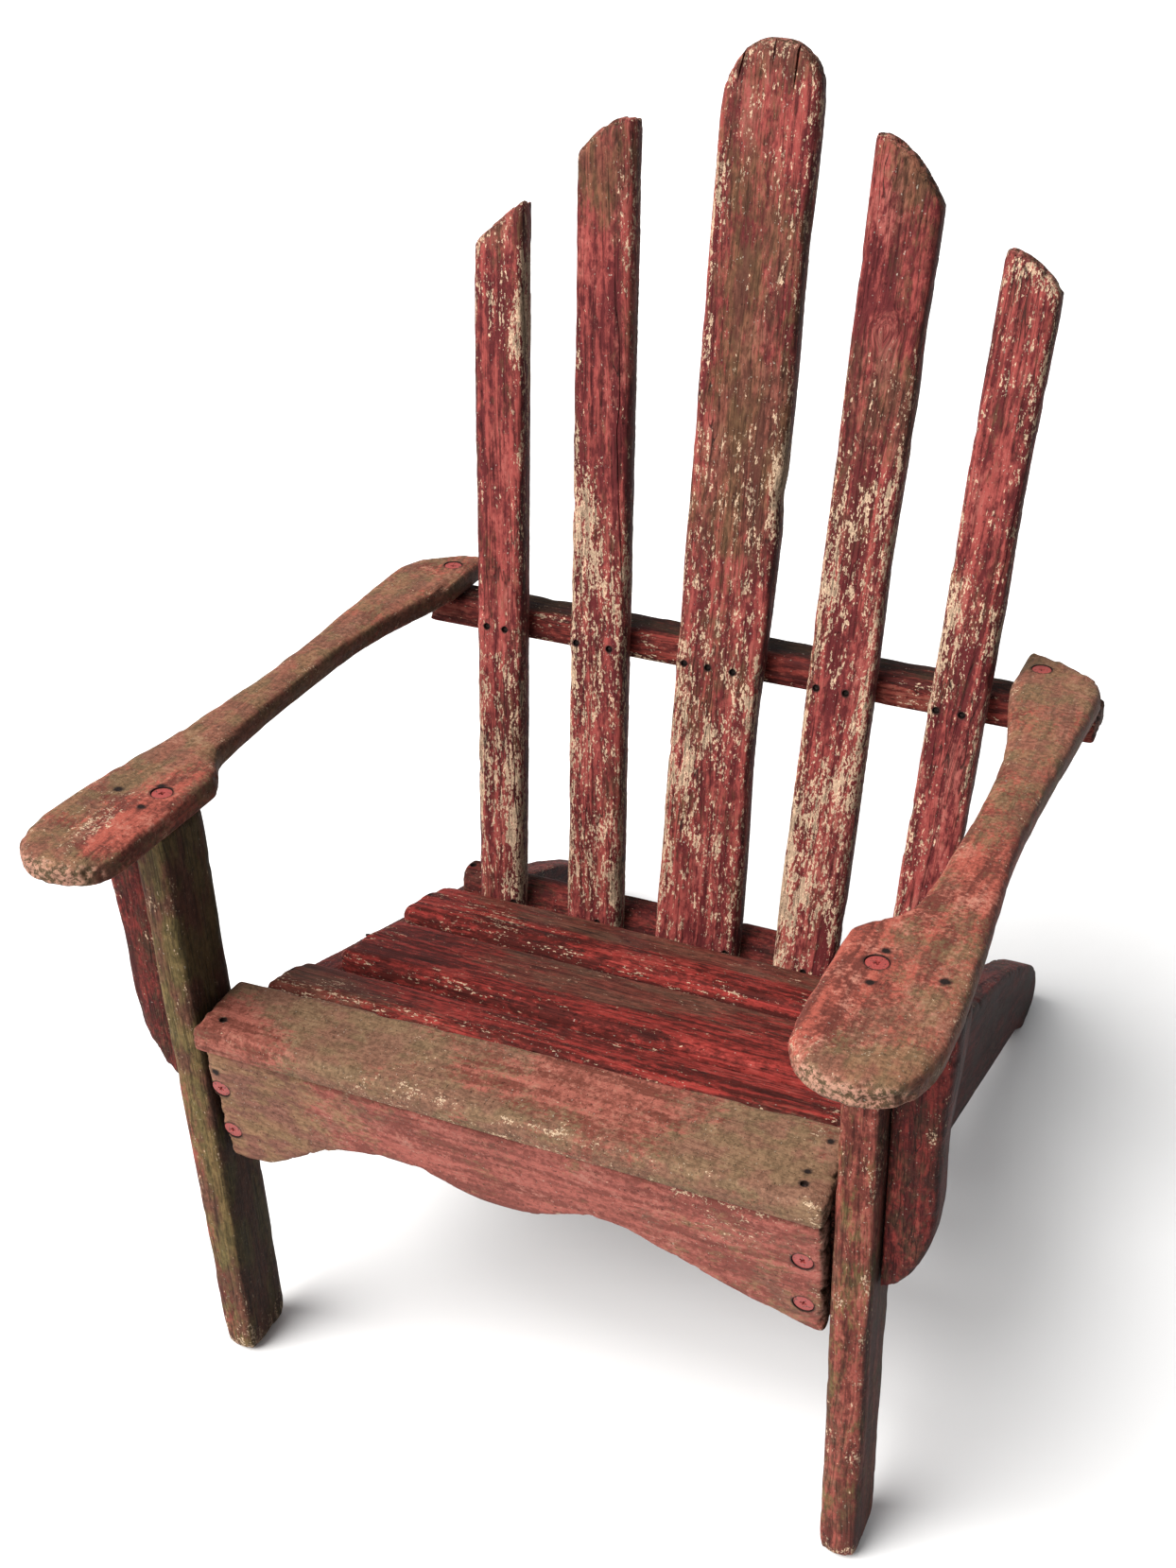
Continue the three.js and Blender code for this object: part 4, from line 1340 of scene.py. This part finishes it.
@dataclass
class Seat:
    """The level front slat, its apron and three sloping slats on two stringers."""

    def boards(self) -> list[Board]:
        """The seat's boards.

        Returns:
            The boards, front first.
        """
        slats = [
            Board("seat_slat_2", "seat", RIGHT, slope("seat_slat_2", 2), 22, wear=0.6, ripple=0.45,
                  patches=(Patch(0.55, 0.4, 0.4, 0.3, 0.9), Patch(0.03, 0.5, 0.12, 2.0, 1.6, Mark.STAIN),
                           Patch(0.6, 0.3, 0.5, 0.3, -1.5, Mark.STAIN))),
            Board("seat_slat_3", "seat", RIGHT, slope("seat_slat_3", 2), 23, wear=0.95, ripple=0.6,
                  patches=(Patch(0.45, 0.45, 0.22, 0.35, 1.8, Mark.STAIN), Patch(0.42, 0.35, 0.16, 0.3, 0.9),
                           Patch(0.5, 1.0, 0.9, 0.3, -2.6, Mark.STAIN),
                           Patch(0.55, 0.05, 0.4, 0.25, 1.0, Mark.STAIN),
                           Patch(0.06, 0.5, 0.12, 0.8, -1.6, Mark.STAIN))),
            Board("seat_slat_4", "seat", RIGHT, slope("seat_slat_4", 2), 24, wear=0.95, ripple=0.6,
                  patches=(Patch(0.3, 0.75, 0.22, 0.2, 0.9), Patch(0.5, 0.25, 0.6, 0.4, 1.8, Mark.STAIN),
                           Patch(0.5, 1.0, 0.9, 0.32, -2.6, Mark.STAIN), Patch(0.1, 0.3, 0.12, 0.4, 0.8),
                           Patch(0.05, 0.6, 0.1, 0.6, -1.6, Mark.STAIN)),
                  holes=(Hole(0.022, 0.13),)),
        ]
        front = Board("seat_slat_1", "front", RIGHT, UP, 21, wear=0.5, ripple=0.5,
                      patches=(Patch(0.52, 0.98, 0.2, 0.14, 1.5),
                               Patch(0.25, 0.4, 0.16, 0.5, 0.9, Mark.STAIN),
                               Patch(0.9, 0.6, 0.12, 0.5, 0.8, Mark.STAIN),
                               Patch(0.62, 0.35, 0.14, 0.6, -1.5, Mark.STAIN),
                               Patch(0.05, 0.9, 0.12, 0.4, -1.4, Mark.STAIN),
                               Patch(0.45, 0.95, 0.3, 0.3, 0.8, Mark.STAIN)),
                      holes=(Hole(0.955, 0.64), Hole(0.966, 0.25)))
        apron = Board("apron", "apron", RIGHT, slope("apron", 1), 25, wear=0.55, ripple=0.4,
                      patches=(Patch(0.06, 0.5, 0.14, 2.0, 2.0, Mark.STAIN), Patch(0.85, 0.1, 0.2, 0.4, 0.9),
                               Patch(0.55, 0.5, 0.2, 0.8, -0.8, Mark.STAIN)),
                      holes=(Hole(0.018, 0.18, 1.4),))
        return [front, apron, *slats, *self.stringers()]

    def stringers(self) -> list[Board]:
        """The two side rails that slope to the floor.

        Returns:
            The boards, left and right.
        """
        fall = Vector((0, 1, -0.364))
        return [Board(f"stringer_{side}", "frame", fall, RIGHT * (1 if side == "right" else -1), 31 + index,
                      wear=0.22, ripple=0.4, rests=False) for index, side in enumerate(SIDES)]


@dataclass
class ArmFrame:
    """On each side a leg, an arm and the bracket between them."""

    arm_holes: dict[str, tuple[Hole, ...]] = field(default_factory=lambda: {
        "left": (Hole(0.175, 0.37, 1.5), Hole(0.2, 0.68, 1.3), Hole(0.15, 0.72, 1.3)),
        "right": (Hole(0.195, 0.78, 1.5), Hole(0.165, 0.34, 1.3), Hole(0.225, 0.33, 1.3)),
    })
    arm_patches: dict[str, tuple[Patch, ...]] = field(default_factory=lambda: {
        "left": (Patch(0.09, 0.55, 0.07, 0.16, 2.3), Patch(0.12, 0.75, 0.12, 0.2, -2.6, Mark.STAIN),
                 Patch(0.42, 0.5, 0.2, 0.6, 1.0, Mark.STAIN), Patch(0.02, 0.5, 0.03, 1.0, 1.8, Mark.STAIN)),
        "right": (Patch(0.12, 0.1, 0.2, 0.2, -2.4, Mark.STAIN), Patch(0.4, 0.8, 0.2, 0.5, -1.0, Mark.STAIN),
                  Patch(0.95, 0.5, 0.06, 1.0, 1.6, Mark.STAIN), Patch(0.02, 0.5, 0.03, 1.0, 1.8, Mark.STAIN)),
    })

    def boards(self) -> list[Board]:
        """The boards of both sides.

        Returns:
            The boards, left side first.
        """
        made = []
        for index, side in enumerate(SIDES):
            outward = RIGHT * (1 if side == "right" else -1)
            top = slope(f"arm_{side}", 2)
            grain = unit(top.cross(RIGHT))
            made.append(Board(f"arm_{side}", "arm", grain, top, 41 + index, wear=0.75, ripple=0.7,
                              holes=self.arm_holes[side], patches=self.arm_patches[side]))
            olive = 1.4 if side == "left" else -0.4
            made.append(Board(f"front_leg_{side}", "leg", UP, -REAR, 43 + index, wear=0.7, ripple=0.5,
                              foot_wear=0.95, rests=False,
                              patches=(Patch(0.02, 0.5, 0.035, 2.0, 1.4),
                                       Patch(0.4, 0.8, 0.6, 0.4, olive, Mark.STAIN),
                                       Patch(0.8, 0.5, 0.2, 1.0, olive, Mark.STAIN))))
            made.append(Board(f"corbel_{side}", "frame", UP, outward, 45 + index, wear=0.6, ripple=0.4))
        return made


# ---------------------------------------------------------------- the chair

FINISHES = (
    WeatheredPaint("back_paint", "back_wood", (0.08, 0.013, 0.014, 1), (0.25, 0.05, 0.043, 1),
                   (0.31, 0.115, 0.092, 1), flaking=0.62, dirt=0.42, dirt_depth=0.6),
    WeatheredPaint("seat_paint", "seat_wood", (0.058, 0.009, 0.007, 1), (0.235, 0.027, 0.022, 1),
                   (0.34, 0.07, 0.055, 1), patina=(0.125, 0.062, 0.04, 1),
                   patina_brown=(0.11, 0.034, 0.024, 1),
                   flaking=0.38, dirt=0.55, dirt_depth=0.75, roughness=0.7),
    WeatheredPaint("front_paint", "front_wood", (0.12, 0.035, 0.024, 1), (0.27, 0.085, 0.062, 1),
                   (0.3, 0.16, 0.11, 1), patina=(0.18, 0.125, 0.068, 1), patina_brown=(0.19, 0.105, 0.066, 1),
                   flaking=0.2, dirt=0.85, dirt_depth=0.8, grain_length=0.42, furrows=0.3, checking=0.1),
    WeatheredPaint("apron_paint", "front_wood", (0.15, 0.042, 0.032, 1), (0.29, 0.085, 0.066, 1),
                   (0.33, 0.17, 0.13, 1), patina=(0.22, 0.15, 0.075, 1), patina_brown=(0.17, 0.09, 0.06, 1),
                   flaking=0.12, dirt=0.6, dirt_depth=0.7, grain_length=0.5, furrows=0.3, checking=0.15),
    WeatheredPaint("arm_paint", "arm_wood", (0.11, 0.03, 0.022, 1), (0.31, 0.075, 0.052, 1),
                   (0.42, 0.22, 0.16, 1), patina=(0.17, 0.125, 0.064, 1), patina_brown=(0.19, 0.095, 0.06, 1),
                   flaking=0.22, dirt=0.95, dirt_depth=0.7, grain_length=0.34, furrows=0.3, checking=0.06,
                   chalkiness=0.6),
    WeatheredPaint("leg_paint", "leg_wood", (0.085, 0.02, 0.015, 1), (0.24, 0.06, 0.045, 1),
                   (0.3, 0.15, 0.1, 1), patina=(0.13, 0.11, 0.04, 1), flaking=0.3, dirt=0.75,
                   grain_length=0.8,
                   checking=0.4, painted_side_shade_strength=0.88),
    WeatheredPaint("rail_paint", "frame_wood", (0.05, 0.009, 0.008, 1), (0.16, 0.026, 0.02, 1),
                   (0.24, 0.1, 0.07, 1), patina=(0.045, 0.028, 0.015, 1),
                   patina_brown=(0.03, 0.012, 0.009, 1),
                   flaking=0.25, dirt=1.0, dirt_depth=0.9),
    WeatheredPaint("frame_paint", "frame_wood", (0.05, 0.008, 0.008, 1), (0.16, 0.024, 0.02, 1),
                   (0.2, 0.07, 0.05, 1), patina=(0.055, 0.032, 0.018, 1),
                   patina_brown=(0.05, 0.016, 0.012, 1),
                   flaking=0.16, dirt=0.7, dirt_depth=0.8, grain_length=0.6, painted_side_shade_strength=0.85),
)
SCREW_FINISH = AgedMetal("painted_screw", "screw_steel", (0.085, 0.055, 0.045, 1), (0.33, 0.05, 0.042, 1),
                         0.72)
NAIL_FINISH = AgedMetal("rusty_nail", "nail_steel", (0.02, 0.012, 0.009, 1), (0.04, 0.014, 0.012, 1), 0.3,
                        0.7)


@dataclass
class Chair:
    """The whole chair, built board by board."""

    materials: dict[str, bpy.types.Material] = field(default_factory=dict)
    slots: dict[str, str] = field(default_factory=dict)

    def dress(self) -> None:
        """Builds the finishes."""
        groups = {"grain": make_grain_group(), "flaking": make_flaking_group(), "patina": make_patina_group()}
        for finish in FINISHES:
            key = finish.name.removesuffix("_paint")
            self.materials[key] = finish.material(groups)
            self.slots[key] = finish.slot
        for key, metal in (("screw", SCREW_FINISH), ("nail", NAIL_FINISH)):
            self.materials[key] = metal.material()
            self.slots[key] = metal.slot

    def build(self) -> None:
        """Builds every piece in order."""
        self.dress()
        fasteners = sorted(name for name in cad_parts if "screw" in name or "nail" in name)
        shafts = [read_shaft(name) for name in fasteners]
        for board in [*BackRest().boards(), *Seat().boards(), *ArmFrame().boards()]:
            low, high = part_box(board.node)
            through = [shaft for shaft in shafts if self._meets(shaft, low, high)]
            self.settle(board.build(through), board.node, board.finish)
        for index, name in enumerate(fasteners):
            turn = index * 1.37
            if "screw" in name:
                self.settle(Screw(name, turn).build(), name, "screw")
            else:
                self.settle(Nail(name, turn).build(), name, "nail")

    @staticmethod
    def _meets(shaft: Shaft, low: Vector, high: Vector) -> bool:
        """Whether a fastener goes into a board.

        Args:
            shaft: the fastener.
            low: the lowest corner of the board's box, in metres.
            high: its highest corner.

        Returns:
            True if some of its line is in the box.
        """
        stops = [shaft.head - shaft.outward * (shaft.length * step / 12) for step in range(13)]
        return any(all(low[axis] <= stop[axis] <= high[axis] for axis in range(3)) for stop in stops)

    def settle(self, piece: bpy.types.Object, node: str, finish: str) -> None:
        """Gives a piece its finish and ties it to the frame.

        Args:
            piece: the finished piece.
            node: the CAD node that it stands for.
            finish: the finish's short name.
        """
        piece.data.materials.clear()
        piece.data.materials.append(self.materials[finish])
        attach(piece, BODY)
        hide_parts(node)
        LOG.info("%s: %d faces", piece.name, len(piece.data.polygons))


# ---------------------------------------------------------------- studio


@dataclass(frozen=True)
class Studio:
    """A pale floor, soft light from the front left, and the camera."""

    azimuth: float = math.radians(25.25)
    elevation: float = math.radians(32.93)
    roll: float = math.radians(-2.24)
    eye: tuple[float, float, float] = (0.2698, -0.6404, 0.6871)
    lens: float = 45.56  # mm, on a 36 mm long side
    sky: float = 0.46
    sun_strength: float = 6.9
    sun_softness: float = math.radians(50)
    sun_azimuth: float = math.radians(-40)
    sun_elevation: float = math.radians(50)
    floor_reach: float = 15.0

    def build(self) -> None:
        """Makes the floor, the lights and the camera."""
        self._floor()
        self._lights()
        self._camera()
        bpy.context.scene.view_settings.view_transform = "Standard"

    def _floor(self) -> None:
        """A broad pale sheet under the feet."""
        work = bmesh.new()
        bmesh.ops.create_grid(work, x_segments=4, y_segments=4, size=self.floor_reach)
        mesh = bpy.data.meshes.new("floor")
        work.to_mesh(mesh)
        work.free()
        floor = bpy.data.objects.new("floor", mesh)
        floor.location.z = CAD_BOX[0].z - 0.0002
        bpy.context.scene.collection.objects.link(floor)
        pale = bpy.data.materials.new("pale_floor")
        pale.use_nodes = True
        shader = pale.node_tree.nodes["Principled BSDF"]
        shader.inputs["Base Color"].default_value = (0.72, 0.72, 0.722, 1)
        shader.inputs["Roughness"].default_value = 0.7
        shader.inputs["Specular IOR Level"].default_value = 0.1
        mesh.materials.append(pale)

    def _lights(self) -> None:
        """A soft key light from the front left and an even sky."""
        data = bpy.data.lights.new("key", "SUN")
        data.energy = self.sun_strength
        data.angle = self.sun_softness
        data.color = (1.0, 0.985, 0.965)
        key = bpy.data.objects.new("key", data)
        toward = Vector((
            math.sin(self.sun_azimuth) * math.cos(self.sun_elevation),
            -math.cos(self.sun_azimuth) * math.cos(self.sun_elevation),
            math.sin(self.sun_elevation)))
        key.rotation_euler = toward.to_track_quat("Z", "Y").to_euler()
        bpy.context.scene.collection.objects.link(key)
        world = bpy.data.worlds.new("sky")
        world.use_nodes = True
        world.node_tree.nodes["Background"].inputs["Color"].default_value = (0.97, 0.985, 1.0, 1)
        world.node_tree.nodes["Background"].inputs["Strength"].default_value = self.sky
        bpy.context.scene.world = world

    def _camera(self) -> None:
        """The camera, from the chair's front right and above."""
        data = bpy.data.cameras.new("camera")
        data.lens = self.lens
        data.sensor_width = 36
        camera = bpy.data.objects.new("camera", data)
        ahead = Vector((
            -math.sin(self.azimuth) * math.cos(self.elevation),
            math.cos(self.azimuth) * math.cos(self.elevation),
            -math.sin(self.elevation)))
        level = Vector((math.cos(self.azimuth), math.sin(self.azimuth), 0))
        above = level.cross(ahead)
        right = math.cos(self.roll) * level + math.sin(self.roll) * above
        up = math.cos(self.roll) * above - math.sin(self.roll) * level
        turn = Matrix((right, up, -ahead)).transposed().to_4x4()
        turn.translation = Vector(self.eye)
        camera.matrix_world = turn
        bpy.context.scene.collection.objects.link(camera)
        bpy.context.scene.camera = camera


def main() -> None:
    """Builds the chair and the studio round it."""
    logging.basicConfig(level=logging.INFO, format="%(message)s")
    Chair().build()
    Studio().build()


if __name__ == "__main__":
    main()
